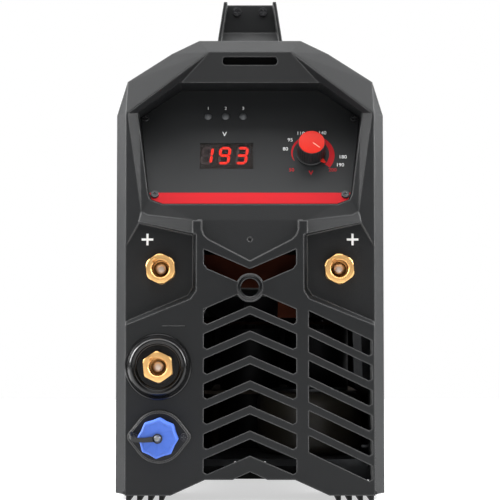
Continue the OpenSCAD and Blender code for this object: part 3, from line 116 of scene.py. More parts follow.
def place(at: Sequence[float], facing: Facing = Facing.FRONT, spin: float = 0.0) -> Matrix:
    """Makes the matrix that puts a shape, drawn in millimetres, into the frame.

    Args:
        at: Where its origin goes, in millimetres.
        facing: Where its local Z axis points.
        spin: Turn about that axis, in degrees.

    Returns:
        The placing matrix, to metres.
    """
    turned = facing.turn() @ Matrix.Rotation(math.radians(spin), 4, "Z")
    return Matrix.Translation(Vector(at) * MM) @ turned @ Matrix.Scale(MM, 4)


@dataclass(frozen=True)
class NodeBox:
    """The box of a CAD node at rest, in millimetres."""

    node: str

    @property
    def low(self) -> Vector:
        """Lowest corner."""
        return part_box(self.node)[0] / MM

    @property
    def high(self) -> Vector:
        """Highest corner."""
        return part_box(self.node)[1] / MM

    @property
    def middle(self) -> Vector:
        """Centre of the box."""
        return (self.low + self.high) / 2


def front_face() -> float:
    """Returns where the cover's front face is along Y: the plus sockets end flush with it."""
    return NodeBox("plus_socket_left").low.y


def joint_named(name: str) -> dict:
    """Returns one of the frame's joints by its name."""
    return next(joint for joint in frame["joints"] if joint["name"] == name)


class Graph:
    """The node tree of one material, around its shader."""

    def __init__(self, name: str) -> None:
        """Starts an empty material.

        Args:
            name: The material's name.
        """
        self.material = bpy.data.materials.new(name)
        self.material.use_nodes = True
        self.tree = self.material.node_tree
        self.shader = self.tree.nodes["Principled BSDF"]

    def add(self, kind: str, inputs: dict | None = None, **settings: object) -> bpy.types.Node:
        """Adds a node.

        Args:
            kind: The node's type, without its ShaderNode prefix.
            inputs: Socket name or index to a value or to the socket that feeds it.
            settings: Properties of the node.

        Returns:
            The new node.
        """
        node = self.tree.nodes.new("ShaderNode" + kind)
        for key, value in settings.items():
            setattr(node, key, value)
        for key, value in (inputs or {}).items():
            self.feed(node, key, value)
        return node

    def feed(self, node: bpy.types.Node, key: str | int, value: object) -> None:
        """Sets a socket to a value, or links another socket to it.

        Args:
            node: The node that has the socket.
            key: The socket's name or index.
            value: The value, or the socket to link from.
        """
        if isinstance(value, bpy.types.NodeSocket):
            self.tree.links.new(value, node.inputs[key])
        else:
            node.inputs[key].default_value = value


@dataclass(frozen=True)
class Finish:
    """A procedural surface: mottled colour, uneven gloss, fine relief and paler edges, partly wear and partly
    painted highlight.
    """

    name: str
    color: Color
    roughness: float = 0.5
    metallic: float = 0.0
    specular: float = 0.5
    coat: float = 0.0
    mottle: float = 0.08
    mottle_size: float = 14.0
    grain: float = 0.12
    grain_size: float = 0.7
    stretch: Point3 = (1.0, 1.0, 1.0)
    wear_and_highlight: float = 0.0
    edge_band_width: float = 0.45

    def material(self) -> bpy.types.Material:
        """Returns the material, made at its first use."""
        label = "dressed_" + self.name
        made = bpy.data.materials.get(label)
        if made is None:
            graph = Graph(label)
            self.wire(graph)
            made = graph.material
        return made

    def noise(self, graph: Graph, size: float, detail: float) -> bpy.types.NodeSocket:
        """Adds a noise over the surface's own place.

        Args:
            graph: The material's nodes.
            size: Size of its features, in millimetres.
            detail: Octaves of finer noise.

        Returns:
            The noise, 0 to 1.
        """
        own = graph.add("TexCoord")
        spread = graph.add("Mapping", {"Vector": own.outputs["Object"], "Scale": self.stretch})
        texture = graph.add(
            "TexNoise", {"Vector": spread.outputs["Vector"], "Scale": 1 / (size * MM), "Detail": detail}
        )
        return texture.outputs["Fac"]

    def edges(self, graph: Graph) -> tuple[bpy.types.NodeSocket, bpy.types.NodeSocket]:
        """Finds the solid's edges by how far a rounded normal leans from the true one.

        Args:
            graph: The material's nodes.

        Returns:
            The rounded normal, and a mask that is high on edges.
        """
        rounded = graph.add("Bevel", {"Radius": self.edge_band_width * MM}, samples=6)
        true = graph.add("NewGeometry")
        lean = graph.add(
            "VectorMath", {0: rounded.outputs["Normal"], 1: true.outputs["Normal"]}, operation="DOT_PRODUCT"
        )
        flat, edge = EDGE_LEANS
        mask = graph.add(
            "MapRange",
            {"Value": lean.outputs["Value"], "From Min": flat, "From Max": edge, "To Max": self.wear_and_highlight},
        )
        return rounded.outputs["Normal"], mask.outputs["Result"]

    def tint(self, share: float) -> tuple[float, float, float, float]:
        """Returns the colour made lighter or darker by a share of itself."""
        return (*(min(1.0, c * (1 + share)) for c in self.color), 1.0)

    def wire(self, graph: Graph) -> None:
        """Wires the material's nodes.

        Args:
            graph: The material's nodes.
        """
        shader = graph.shader
        cloud = self.noise(graph, self.mottle_size, detail=4.0)
        mixed = graph.add("Mix", {"Factor": cloud}, data_type="RGBA")
        mixed.inputs[6].default_value = self.tint(-self.mottle)
        mixed.inputs[7].default_value = self.tint(self.mottle)
        color = mixed.outputs[2]
        fine = self.noise(graph, self.grain_size, detail=2.0)
        relief = graph.add("Bump", {"Height": fine, "Strength": self.grain, "Distance": self.grain_size * MM})
        # Edges are lightened whatever the light falls on them: partly wear, partly a painted highlight.
        if self.wear_and_highlight:
            rounded, mask = self.edges(graph)
            graph.feed(relief, "Normal", rounded)
            worn_and_highlit = graph.add("Mix", {"Factor": mask, 6: color}, data_type="RGBA")
            worn_and_highlit.inputs[7].default_value = (*(c + WEAR_AND_HIGHLIGHT_LIFT * (1 - c) for c in self.color), 1.0)
            color = worn_and_highlit.outputs[2]
        smooth, rough = self.roughness - GLOSS_SPREAD, min(1.0, self.roughness + GLOSS_SPREAD)
        gloss = graph.add("MapRange", {"Value": cloud, "To Min": smooth, "To Max": rough})
        graph.feed(shader, "Base Color", color)
        graph.feed(shader, "Roughness", gloss.outputs["Result"])
        graph.feed(shader, "Normal", relief.outputs["Normal"])
        shader.inputs["Metallic"].default_value = self.metallic
        shader.inputs["Specular IOR Level"].default_value = self.specular
        shader.inputs["Coat Weight"].default_value = self.coat


@dataclass(frozen=True)
class Glow(Finish):
    """A surface that gives off light of its own colour."""

    strength: float = 1.0

    def wire(self, graph: Graph) -> None:
        """Wires the plain surface and adds its light.

        Args:
            graph: The material's nodes.
        """
        super().wire(graph)
        graph.shader.inputs["Emission Color"].default_value = (*self.color, 1.0)
        graph.shader.inputs["Emission Strength"].default_value = self.strength


@dataclass(frozen=True)
class Clear(Finish):
    """A see-through pane with a faint unevenness in its gloss and hardly any glare."""

    bend: float = 1.1

    def wire(self, graph: Graph) -> None:
        """Wires the plain surface and lets light through.

        Args:
            graph: The material's nodes.
        """
        super().wire(graph)
        graph.shader.inputs["Transmission Weight"].default_value = 1.0
        graph.shader.inputs["IOR"].default_value = self.bend


COVER = Finish(
    "cover_plastic", tone(26, 27, 28), 0.45, specular=0.22, wear_and_highlight=0.38, edge_band_width=1.8,
    grain=0.16, mottle=0.06
)
SHEET = Finish(
    "case_powder_coat", tone(40, 41, 43), 0.45, specular=0.3, grain=0.25, grain_size=0.9, mottle=0.05
)
ZINC = Finish("zinc_sheet", tone(104, 106, 108), 0.48, metallic=1.0, mottle=0.2, mottle_size=9.0)
RUBBER = Finish("foot_rubber", tone(26, 26, 26), 0.75, grain=0.3, mottle=0.12)
BLACK_STEEL = Finish("black_zinc_steel", tone(52, 52, 54), 0.34, metallic=0.9, wear_and_highlight=0.6, edge_band_width=0.25)
# A paler copy of the black screw steel for the panel screws: painted light on screws in the hood's shade.
LIT_SCREW_STEEL = Finish("screw_steel_painted_light", tone(62, 62, 64), 0.36, metallic=0.8, wear_and_highlight=0.6, edge_band_width=0.4)
# Far paler than the bolts' own steel: painted light on bolt ends that sit in the shade of the bores.
LIT_BOLT_END = Finish("bolt_end_painted_light", tone(226, 214, 204), 0.42, metallic=0.75)
# Near-black and nearly glossless: painted shade for openings that should read dark.
SHADE_BLACK = Finish("painted_slot_shade", tone(6, 6, 6), 0.9, specular=0.05, grain=0.3)
BRIGHT_STEEL = Finish("bright_zinc_steel", tone(138, 140, 142), 0.3, metallic=1.0, wear_and_highlight=0.3, edge_band_width=0.2)
HANDLE = Finish(
    "handle_plastic", tone(26, 27, 28), 0.45, specular=0.26, wear_and_highlight=0.55, edge_band_width=1.6, grain=0.2
)
GRIP_RUBBER = Finish("grip_rubber", tone(27, 28, 29), 0.62, grain=0.35, mottle=0.1)
FOIL = Finish("panel_foil", tone(40, 41, 42), 0.55, specular=0.25, grain=0.1, grain_size=0.4, mottle=0.04)
RED_PRINT = Finish("red_print", tone(186, 20, 30), 0.5, specular=0.15, grain=0.05, mottle=0.04)
WHITE_PRINT = Finish("white_print", tone(228, 228, 228), 0.5, specular=0.3, grain=0.05, mottle=0.02)
# The panel's white figures give off a faint light of their own: painted light, so they read brighter than lit
# ink.
GLOWING_FIGURE_PRINT = Glow(
    "figure_print_glow", tone(236, 236, 236), 0.5, specular=0.3, grain=0.05, mottle=0.02, strength=0.2
)
SMOKED = Clear("smoked_pane", tone(190, 184, 184), 0.06, grain=0.0, mottle=0.02)
DISPLAY = Finish("display_black", tone(30, 24, 24), 0.5, mottle=0.1)
LIT = Glow("lit_segment", tone(255, 42, 18), 0.4, strength=2.2, grain=0.0)
UNLIT = Finish("unlit_segment", tone(104, 92, 92), 0.5, mottle=0.08)
LENS = Finish("lamp_lens", tone(86, 88, 90), 0.3, coat=0.2, grain=0.02, mottle=0.06, mottle_size=2.0)
BOARD = Finish("board_green", tone(36, 96, 58), 0.4, coat=0.2, mottle=0.25, mottle_size=5.0)
BRASS = Finish(
    "turned_brass", tone(226, 178, 114), 0.4, metallic=0.85, mottle=0.08, mottle_size=5.0, grain=0.05
)
KNOB = Finish("knob_black", tone(26, 26, 27), 0.36, wear_and_highlight=0.35, edge_band_width=0.3)
KNOB_RED = Finish(
    "knob_red", tone(190, 36, 24), 0.42, specular=0.15, grain=0.06, mottle=0.05, mottle_size=5.0
)
POINTER = Finish("pointer_line", tone(232, 146, 124), 0.4, grain=0.0)
INSULATOR = Finish("insulator_black", tone(10, 10, 11), 0.24, specular=0.4, grain=0.03)
# Both coppers are much darker than bare copper: painted shade on bars inside the case, the second darker
# still.
COPPER = Finish("rolled_copper", tone(60, 30, 21), 0.55, metallic=1.0, mottle=0.18, stretch=(1, 12, 1))
DEEP_SHADE_COPPER = Finish("copper_painted_deep_shade", tone(28, 16, 12), 0.6, metallic=1.0, mottle=0.18, stretch=(1, 12, 1))
CONNECTOR = Finish("connector_black", tone(11, 11, 12), 0.36, specular=0.3, wear_and_highlight=0.3, edge_band_width=0.5)
CAP_BLUE = Finish(
    "cap_blue", tone(70, 104, 192), 0.5, specular=0.25, grain=0.12, mottle=0.05, wear_and_highlight=0.3, edge_band_width=0.5
)
STRAP = Finish("strap_black", tone(24, 25, 27), 0.5, grain=0.2)
SLEEVE = Finish("can_sleeve", tone(18, 19, 22), 0.5, specular=0.2, mottle=0.06)
CARD = Finish("laminated_card", tone(64, 50, 36), 0.6, mottle=0.2)
ALUMINIUM = Finish("black_anodised", tone(52, 53, 55), 0.4, metallic=0.8, stretch=(1, 0.05, 1))
TAPE = Finish("winding_tape", tone(52, 48, 40), 0.45, mottle=0.2, mottle_size=4.0)
# A darker copy of the cover plastic for the ring's lip: painted shade.
SHADED_RING_LIP = Finish("ring_lip", tone(14, 15, 16), 0.22, specular=0.45, grain=0.05)
GOLD = Finish("gold_anodised", tone(200, 156, 64), 0.35, metallic=1.0)
FAN = Finish("fan_plastic", tone(30, 31, 33), 0.42, wear_and_highlight=0.2)
CHROME = Finish("guard_wire", tone(150, 152, 155), 0.22, metallic=1.0, grain=0.03, mottle=0.05)
SWITCH = Finish("switch_black", tone(24, 24, 26), 0.25, grain=0.05, wear_and_highlight=0.2)
ROCKER = Finish("rocker_red", tone(178, 34, 26), 0.24, coat=0.3, grain=0.03)
GLAND = Finish("gland_nylon", tone(36, 37, 39), 0.4, wear_and_highlight=0.3)
FLOOR = Glow("studio_floor", tone(182, 182, 182), 0.9, specular=0.1, grain=0.02, mottle=0.01, strength=1.25)

NODE_FINISHES: dict[Finish, str] = {
    COVER: "front_cover rear_cover",
    SHEET: "case_wrap",
    ZINC: "base_plate deck_plate transformer_clamp",
    RUBBER: "rubber_feet",
    BLACK_STEEL: "cover_screws handle_screws bracket_bolts connector_screws",
    LIT_SCREW_STEEL: "panel_screws",
    BRIGHT_STEEL: "case_screws potentiometer knob_shaft socket_bolts cap_rivet fan_screws",
    HANDLE: "handle_bracket_front handle_bracket_rear",
    FOIL: "control_panel",
    DISPLAY: "display_module thyristor",
    BOARD: "control_board power_board",
    BRASS: "board_pillars potentiometer_nut socket_nuts power_pillars",
    COPPER: "front_busbar",
    DEEP_SHADE_COPPER: "gun_busbar bus_plus bus_minus",
    CONNECTOR: "connector_insert",
    SLEEVE: "capacitors",
    CARD: "capacitor_clamp",
    ALUMINIUM: "heat_sink",
    TAPE: "transformer",
    GOLD: "bleed_resistor",
    FAN: "fan_frame",
    SWITCH: "switch_housing",
    ROCKER: "switch_rocker",
    GLAND: "gland_body gland_dome gland_locknut",
}


def circle(radius: float, sides: int, at: Point2 = (0.0, 0.0)) -> list[Point2]:
    """Returns the points of a circle, counter-clockwise.

    Args:
        radius: The circle's radius.
        sides: How many points.
        at: The circle's centre.

    Returns:
        The points.
    """
    return arc(radius, 0.0, 360.0 * (sides - 1) / sides, sides, at)


def arc(radius: float, start: float, end: float, count: int, at: Point2 = (0.0, 0.0)) -> list[Point2]:
    """Returns points along an arc.

    Args:
        radius: The arc's radius.
        start: Angle of its first point, in degrees.
        end: Angle of its last point, in degrees.
        count: How many points.
        at: The arc's centre.

    Returns:
        The points.
    """
    return [polar(radius, start + (end - start) * i / (count - 1), at) for i in range(count)]


def polar(radius: float, angle: float, at: Point2 = (0.0, 0.0)) -> Point2:
    """Returns the point at a radius and an angle.

    Args:
        radius: Distance from the centre.
        angle: Angle from the X axis, in degrees.
        at: The centre.

    Returns:
        The point.
    """
    turn = math.radians(angle)
    return at[0] + radius * math.cos(turn), at[1] + radius * math.sin(turn)


def rectangle(half_w: float, half_h: float) -> list[Point2]:
    """Returns the corners of a rectangle from its half sizes, counter-clockwise."""
    return [(-half_w, -half_h), (half_w, -half_h), (half_w, half_h), (-half_w, half_h)]


def rounded_box(half_w: float, half_h: float, radius: float) -> list[Point2]:
    """Returns a rectangle with round corners, counter-clockwise.

    Args:
        half_w: Half its width.
        half_h: Half its height.
        radius: Radius of its corners.

    Returns:
        The points.
    """
    x, y = half_w - radius, half_h - radius
    points: list[Point2] = []
    for start, sx, sy in ((0, 1, 1), (90, -1, 1), (180, -1, -1), (270, 1, -1)):
        points += arc(radius, start, start + 90, CORNER_POINTS, (sx * x, sy * y))
    return points


class Shape:
    """A mesh put together from turned, drawn and swept solids."""

    def __init__(self) -> None:
        """Starts with nothing."""
        self.mesh = bmesh.new()

    def skinned(self, rings: list[list[Vector]], lids: bool = True) -> "Shape":
        """Joins rings of points into a closed skin.

        Args:
            rings: Rings of equal length, in metres.
            lids: Whether the first and last ring get a lid.

        Returns:
            The shape.
        """
        made = [[self.mesh.verts.new(p) for p in ring] for ring in rings]
        count = len(made[0])
        for low, high in zip(made, made[1:]):
            for i in range(count):
                j = (i + 1) % count
                self.mesh.faces.new((low[i], low[j], high[j], high[i]))
        if lids:
            self.mesh.faces.new(reversed(made[0]))
            self.mesh.faces.new(made[-1])
        return self

    def ringed(self, rings: list[list[Vector]], seam: float = SAME_POINT) -> "Shape":
        """Joins rings of points into a skin that ends where it began.

        Args:
            rings: Rings of equal length, in metres.
            seam: Points of the seam that are closer than this become one, in metres.

        Returns:
            The shape.
        """
        made = Shape()
        made.skinned([*rings, rings[0]], lids=False)
        bmesh.ops.remove_doubles(made.mesh, verts=made.mesh.verts[:], dist=seam)
        return self.joined(made)

    def turned(self, at: Matrix, profile: Sequence[Point2], sides: int = 96, closed: bool = False) -> "Shape":
        """Adds a solid of revolution about the local Z axis.

        Args:
            at: Its place.
            profile: Radius and height, from one end to the other.
            sides: How many sides it is made of.
            closed: Whether the profile is a loop, as in a ring with a hole.

        Returns:
            The shape.
        """
        rings = [[at @ Vector((x, y, z)) for x, y in circle(r, sides)] for r, z in profile]
        return self.ringed(rings) if closed else self.skinned(rings)

    def drawn(self, at: Matrix, outline: Sequence[Point2], low: float, high: float) -> "Shape":
        """Adds an outline drawn out along the local Z axis.

        Args:
            at: Its place.
            outline: The outline's points, counter-clockwise.
            low: Where it starts.
            high: Where it ends.

        Returns:
            The shape.
        """
        return self.skinned([[at @ Vector((x, y, z)) for x, y in outline] for z in (low, high)])

    def lofted(self, at: Matrix, outlines: Sequence[tuple[Sequence[Point2], float]]) -> "Shape":
        """Adds a skin through outlines at rising heights.

        Args:
            at: Its place.
            outlines: Outlines of equal length, each with its height.

        Returns:
            The shape.
        """
        return self.skinned([[at @ Vector((x, y, z)) for x, y in outline] for outline, z in outlines])

    def looped(self, at: Matrix, outlines: Sequence[tuple[Sequence[Point2], float]]) -> "Shape":
        """Adds a skin through outlines that ends where it began, as in a ring with a hole.

        Args:
            at: Its place.
            outlines: Outlines of equal length, each with its height.

        Returns:
            The shape.
        """
        rings = [[at @ Vector((x, y, z)) for x, y in outline] for outline, z in outlines]
        return self.ringed(rings, SAME_LOOP_POINT)

    def swept(self, points: Sequence[Point3], radius: float, sides: int = 12, loop: bool = False) -> "Shape":
        """Adds a round bar along a path.

        Args:
            points: The path, in millimetres.
            radius: The bar's radius.
            sides: How many sides it has.
            loop: Whether the path closes on itself.

        Returns:
            The shape.
        """
        path = [Vector(p) for p in points]
        rings = []
        side = None
        for i, here in enumerate(path):
            before = path[i - 1] if i or loop else here
            after = path[(i + 1) % len(path)] if i + 1 < len(path) or loop else here
            along = (after - before).normalized()
            side = along.orthogonal() if side is None else side - side.dot(along) * along
            side.normalize()
            across = along.cross(side)
            rings.append([(here + side * x + across * y) * MM for x, y in circle(radius, sides)])
        return self.ringed(rings) if loop else self.skinned(rings)

    def words(self, at: Matrix, text: str, height: float, thickness: float) -> "Shape":
        """Adds plain figures, centred on the local origin.

        Args:
            at: Their place.
            text: The figures.
            height: Height of a capital.
            thickness: How far they stand out.

        Returns:
            The shape.
        """
        curve = bpy.data.curves.new("figures", "FONT")
        curve.body = text
        curve.size = height / CAPITAL_SHARE
        curve.extrude = thickness / 2
        curve.align_x = "CENTER"
        curve.align_y = "CENTER"
        holder = bpy.data.objects.new("figures", curve)
        mesh = bpy.data.meshes.new_from_object(holder)
        mesh.transform(at @ Matrix.Translation((0, 0, thickness / 2)))
        self.mesh.from_mesh(mesh)
        bpy.data.objects.remove(holder)
        bpy.data.curves.remove(curve)
        bpy.data.meshes.remove(mesh)
        return self

    def joined(self, other: "Shape") -> "Shape":
        """Takes over another shape's mesh.

        Args:
            other: The other shape, which is used up.

        Returns:
            The shape.
        """
        mesh = bpy.data.meshes.new("part")
        other.mesh.to_mesh(mesh)
        other.mesh.free()
        self.mesh.from_mesh(mesh)
        bpy.data.meshes.remove(mesh)
        return self

    def eased(self, width: float, angle: float = 35.0, segments: int = 2) -> "Shape":
        """Rounds the sharp edges.

        Args:
            width: Width of the rounding.
            angle: Edges that turn by more than this are rounded, in degrees.
            segments: Facets across the rounding.

        Returns:
            The shape.
        """
        bmesh.ops.recalc_face_normals(self.mesh, faces=self.mesh.faces[:])
        sharp = [
            e for e in self.mesh.edges
            if len(e.link_faces) == 2 and e.calc_face_angle(0.0) > math.radians(angle)
        ]
        bmesh.ops.bevel(
            self.mesh, geom=sharp, offset=width * MM, segments=segments, affect="EDGES", clamp_overlap=True
        )
        return self

    def made(
        self, name: str, finish: Finish, slot: str, body: str = MACHINE, replaces: Iterable[str] = (),
        rides: bool = True,
    ) -> bpy.types.Object:
        """Turns the shape into a piece of the machine.

        Args:
            name: The piece's name.
            finish: Its finish.
            slot: Not used.
            body: The CAD body that it rides on.
            replaces: CAD nodes that it stands for.
            rides: Whether it rides on that body.

        Returns:
            The piece.
        """
        bmesh.ops.recalc_face_normals(self.mesh, faces=self.mesh.faces[:])
        mesh = bpy.data.meshes.new(name)
        self.mesh.to_mesh(mesh)
        self.mesh.free()
        mesh.materials.append(finish.material())
        mesh.shade_smooth()
        mesh.set_sharp_from_angle(angle=math.radians(SHARP_ANGLE))
        piece = bpy.data.objects.new(name, mesh)
        bpy.context.scene.collection.objects.link(piece)
        if rides:
            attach(piece, body)
        names = list(replaces)
        if names:
            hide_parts(*names)
        LOG.info("%s rides on %s", name, body)
        return piece


class Solids:
    """The CAD nodes that stay in view, with their finishes."""

    def dress(self) -> None:
        """Gives every CAD node its finish."""
        for finish, names in NODE_FINISHES.items():
            for name in names.split():
                self.coat(name, finish)

    def coat(self, name: str, finish: Finish) -> None:
        """Gives one CAD node its finish.

        Args:
            name: The node.
            finish: Its finish.
        """
        node = frame["nodes"][name]
        node.data.materials.clear()
        node.data.materials.append(finish.material())
        LOG.info("%s is finished in %s", name, finish.name)


class PanelPlane:
    """The face of the control panel, with its origin on the knob's axis."""

    def __init__(self) -> None:
        """Reads the plane from the knob's joint: it turns about the panel's normal."""
        joint = joint_named("knob_turn")
        self.origin = Vector(joint["pos_m"])
        self.out = Vector(joint["axis"]).normalized()
        self.across = Vector((1, 0, 0))
        self.up = self.out.cross(self.across)

    def at(self, x: float = 0.0, up: float = 0.0, spin: float = 0.0) -> Matrix:
        """Makes the placing matrix of a shape on the panel, with local Z out of it.

        Args:
            x: Distance across from the knob's axis.
            up: Distance up the panel from it.
            spin: Turn about the panel's normal, in degrees.

        Returns:
            The placing matrix.
        """
        turn = Matrix((self.across, self.up, self.out)).transposed().to_4x4()
        here = self.origin + (self.across * x + self.up * up) * MM
        spun = Matrix.Rotation(math.radians(spin), 4, "Z")
        return Matrix.Translation(here) @ turn @ spun @ Matrix.Scale(MM, 4)


@dataclass
class PanelPrint:
    """What is printed on the control panel: stripe, dial scale and figures."""

    plane: PanelPlane
    ink: float = 0.06
    middle_x: float = -46.2
    stripe_top: float = -34.0
    stripe_bottom: float = -43.4
    stripe_halves: tuple[float, float, float] = (75.2, 73.2, 65.0)
    stripe_shoulder: float = -40.0
    screw_x: float = 71.2
    screw_up: float = -35.86
    screw_clear: float = 3.1
    scale_r: float = 13.9
    scale_thin: float = 0.35
    scale_thick: float = 4.5
    scale_start: float = 205.0
    scale_end: float = -41.0
    scale_swell: float = 0.8
    scale_steps: int = 48
    figure_h: float = 2.9
    figures: tuple[tuple[str, float, float], ...] = (
        ("80", -19.3, 4.3), ("95", -15.6, 12.3), ("110", -7.6, 18.2),
        ("140", 9.0, 18.6), ("180", 24.0, -2.8), ("190", 21.8, -9.8),
    )
    limits: tuple[tuple[str, float, float], ...] = (
        ("50", -14.9, -14.2), ("V", -0.3, -16.9), ("200", 16.0, -14.2),
    )
    unit_at: Point2 = (-65.6, 17.4)
    unit_h: float = 4.0
    lamp_label_up: float = 40.8
    lamp_label_h: float = 2.6

    def build(self) -> None:
        """Makes the red and the white print."""
        red = Shape().drawn(self.plane.at(self.middle_x), self.stripe(), 0.0, self.ink)
        red.drawn(self.plane.at(), self.scale(), 0.0, self.ink)
        for text, x, up in self.limits:
            height = self.unit_h if text == "V" else self.figure_h
            red.words(self.plane.at(x, up), text, height, self.ink)
        red.made("panel_red_print", RED_PRINT, "panel_foil")
        white = Shape()
        for text, x, up in self.figures:
            white.words(self.plane.at(x, up), text, self.figure_h, self.ink)
        white.words(self.plane.at(*self.unit_at), "V", self.unit_h, self.ink)
        for i, lamp_x in enumerate(StatusLamps.places(self.plane)):
            white.words(self.plane.at(lamp_x, self.lamp_label_up), str(i + 1), self.lamp_label_h, self.ink)
        # This white print glows faintly: painted light.
        white.made("panel_white_print", GLOWING_FIGURE_PRINT, "panel_foil")

    def stripe(self) -> list[Point2]:
        """Returns the stripe's outline, from the panel's middle, cut round for the two lower screws."""
        top, shoulder, foot = self.stripe_halves
        rise = math.degrees(math.asin((self.stripe_top - self.screw_up) / self.screw_clear))
        right = arc(self.screw_clear, rise, -180 - rise, 20, (self.screw_x, self.screw_up))
        half = [(foot, self.stripe_bottom), (shoulder, self.stripe_shoulder), (top, self.stripe_top), *right]
        return half + [(-x, up) for x, up in reversed(half)]

    def scale(self) -> list[Point2]:
        """Returns the outline of the crescent round the knob, thin at its start and thick at its end."""
        shares = [i / (self.scale_steps - 1) for i in range(self.scale_steps)]
        angles = [self.scale_start + (self.scale_end - self.scale_start) * share for share in shares]
        outer = []
        for share, angle in zip(shares, angles):
            width = self.scale_thin + (self.scale_thick - self.scale_thin) * share ** self.scale_swell
            outer.append(polar(self.scale_r + width, angle))
        inner = [polar(self.scale_r, angle) for angle in angles]
        return inner + outer[::-1]


@dataclass
class StatusLamps:
    """The row of unlit lamps over the display."""

    plane: PanelPlane
    flange_r: ClassVar[float] = 3.25
    radius: float = 2.75
    proud: float = 1.3
    depth: float = 1.8
    seat: float = 0.2
    dome_start: float = 8.0
    up: float = 33.4
    sides: int = 40

    @staticmethod
    def places(plane: PanelPlane) -> list[float]:
        """Returns the lamps' places across the panel, from the knob's axis.

        Args:
            plane: The panel's face.

        Returns:
            Places across, from left to right.
        """
        box = NodeBox("status_lamps")
        first = box.low.x + StatusLamps.flange_r - plane.origin.x / MM
        last = box.high.x - StatusLamps.flange_r - plane.origin.x / MM
        return [first, (first + last) / 2, last]

    def build(self) -> None:
        """Makes the domed lenses."""
        dome = arc(self.radius, self.dome_start, 90, 9)
        rise = (self.proud - self.seat) / self.radius
        cap = [(x, self.seat + y * rise) for x, y in dome[:-1]]
        profile = [(self.radius, -self.depth), (self.radius, self.seat / 2), *cap, (TIP_R, self.proud)]
        shape = Shape()
        for x in self.places(self.plane):
            shape.turned(self.plane.at(x, self.up), profile, self.sides)
        shape.made("lamp_lenses", LENS, "lamp_lens", replaces=["status_lamps"])


class Segment(Enum):
    """The seven bars of a figure, each from one corner of a 2 by 3 grid to the next."""

    TOP = ((0, 2), (1, 2))
    UPPER_RIGHT = ((1, 2), (1, 1))
    LOWER_RIGHT = ((1, 1), (1, 0))
    BOTTOM = ((0, 0), (1, 0))
    LOWER_LEFT = ((0, 1), (0, 0))
    UPPER_LEFT = ((0, 2), (0, 1))
    MIDDLE = ((0, 1), (1, 1))


ALL_BARS = set(Segment)
FIGURE_BARS: dict[str, set[Segment]] = {
    "1": {Segment.UPPER_RIGHT, Segment.LOWER_RIGHT},
    "9": ALL_BARS - {Segment.LOWER_LEFT},
    "3": ALL_BARS - {Segment.LOWER_LEFT, Segment.UPPER_LEFT},
}


@dataclass
class DigitalDisplay:
    """The smoked window with three seven-bar figures behind it."""

    plane: PanelPlane
    reading: str = "193"
    width: float = 40.3
    height: float = 22.7
    figure_w: float = 7.0
    shift: Point2 = (-1.6, 1.1)
    figure_h: float = 13.2
    pitch: float = 13.2
    bar: float = 1.9
    gap: float = 0.3
    lean: float = 0.13
    bar_t: float = 0.15
    pane: float = 0.8
    pane_sunk: float = 0.05
    pane_ease: float = 0.15
    face: float = 0.5
    face_depth: float = 1.9
    face_ease: float = 0.1

    def build(self) -> None:
        """Makes the pane, the face behind it and the lit and unlit bars."""
        x, up = self.middle()
        at = self.plane.at(x, up)
        figures_at = self.plane.at(x + self.shift[0], up + self.shift[1])
        border = rectangle(self.width / 2, self.height / 2)
        pane = Shape().drawn(at, border, -self.pane, -self.pane_sunk).eased(self.pane_ease)
        pane.made("display_pane", SMOKED, "window_glass", replaces=["display_window"])
        front = self.face - self.face_depth
        face = Shape().drawn(at, border, -self.face_depth, front).eased(self.face_ease)
        face.made("display_face", DISPLAY, "display_black")
        lit, unlit = Shape(), Shape()
        for i, figure in enumerate(self.reading):
            offset = (i - 1) * self.pitch - self.figure_w / 2
            for segment in Segment:
                target = lit if segment in FIGURE_BARS[figure] else unlit
                target.drawn(figures_at, self.bar_outline(segment, offset), front, front + self.bar_t)
        lit.made("lit_bars", LIT, "display_black")
        unlit.made("unlit_bars", UNLIT, "display_black")

    def middle(self) -> Point2:
        """Returns the window's centre on the panel, from the knob's axis."""
        box = NodeBox("display_window")
        here = box.middle * MM - self.plane.origin
        return here.dot(self.plane.across) / MM, here.dot(self.plane.up) / MM

    def bar_outline(self, segment: Segment, offset: float) -> list[Point2]:
        """Returns the outline of one bar: a hexagon, slanted like the figure.

        Args:
            segment: Which bar.
            offset: Place of the figure's left edge.

        Returns:
            The outline's points.
        """
        (ax, ay), (bx, by) = segment.value
        start = Vector((ax * self.figure_w, (ay - 1) * self.figure_h / 2))
        end = Vector((bx * self.figure_w, (by - 1) * self.figure_h / 2))
        along = (end - start).normalized()
        across = Vector((-along.y, along.x)) * self.bar / 2
        start += along * self.gap
        end -= along * self.gap
        tip = along * self.bar / 2
        right = [start + tip - across, end - tip - across]
        left = [end - tip + across, start + tip + across]
        points = [start, *right, end, *left]
        return [(p.x + offset + p.y * self.lean, p.y) for p in points]


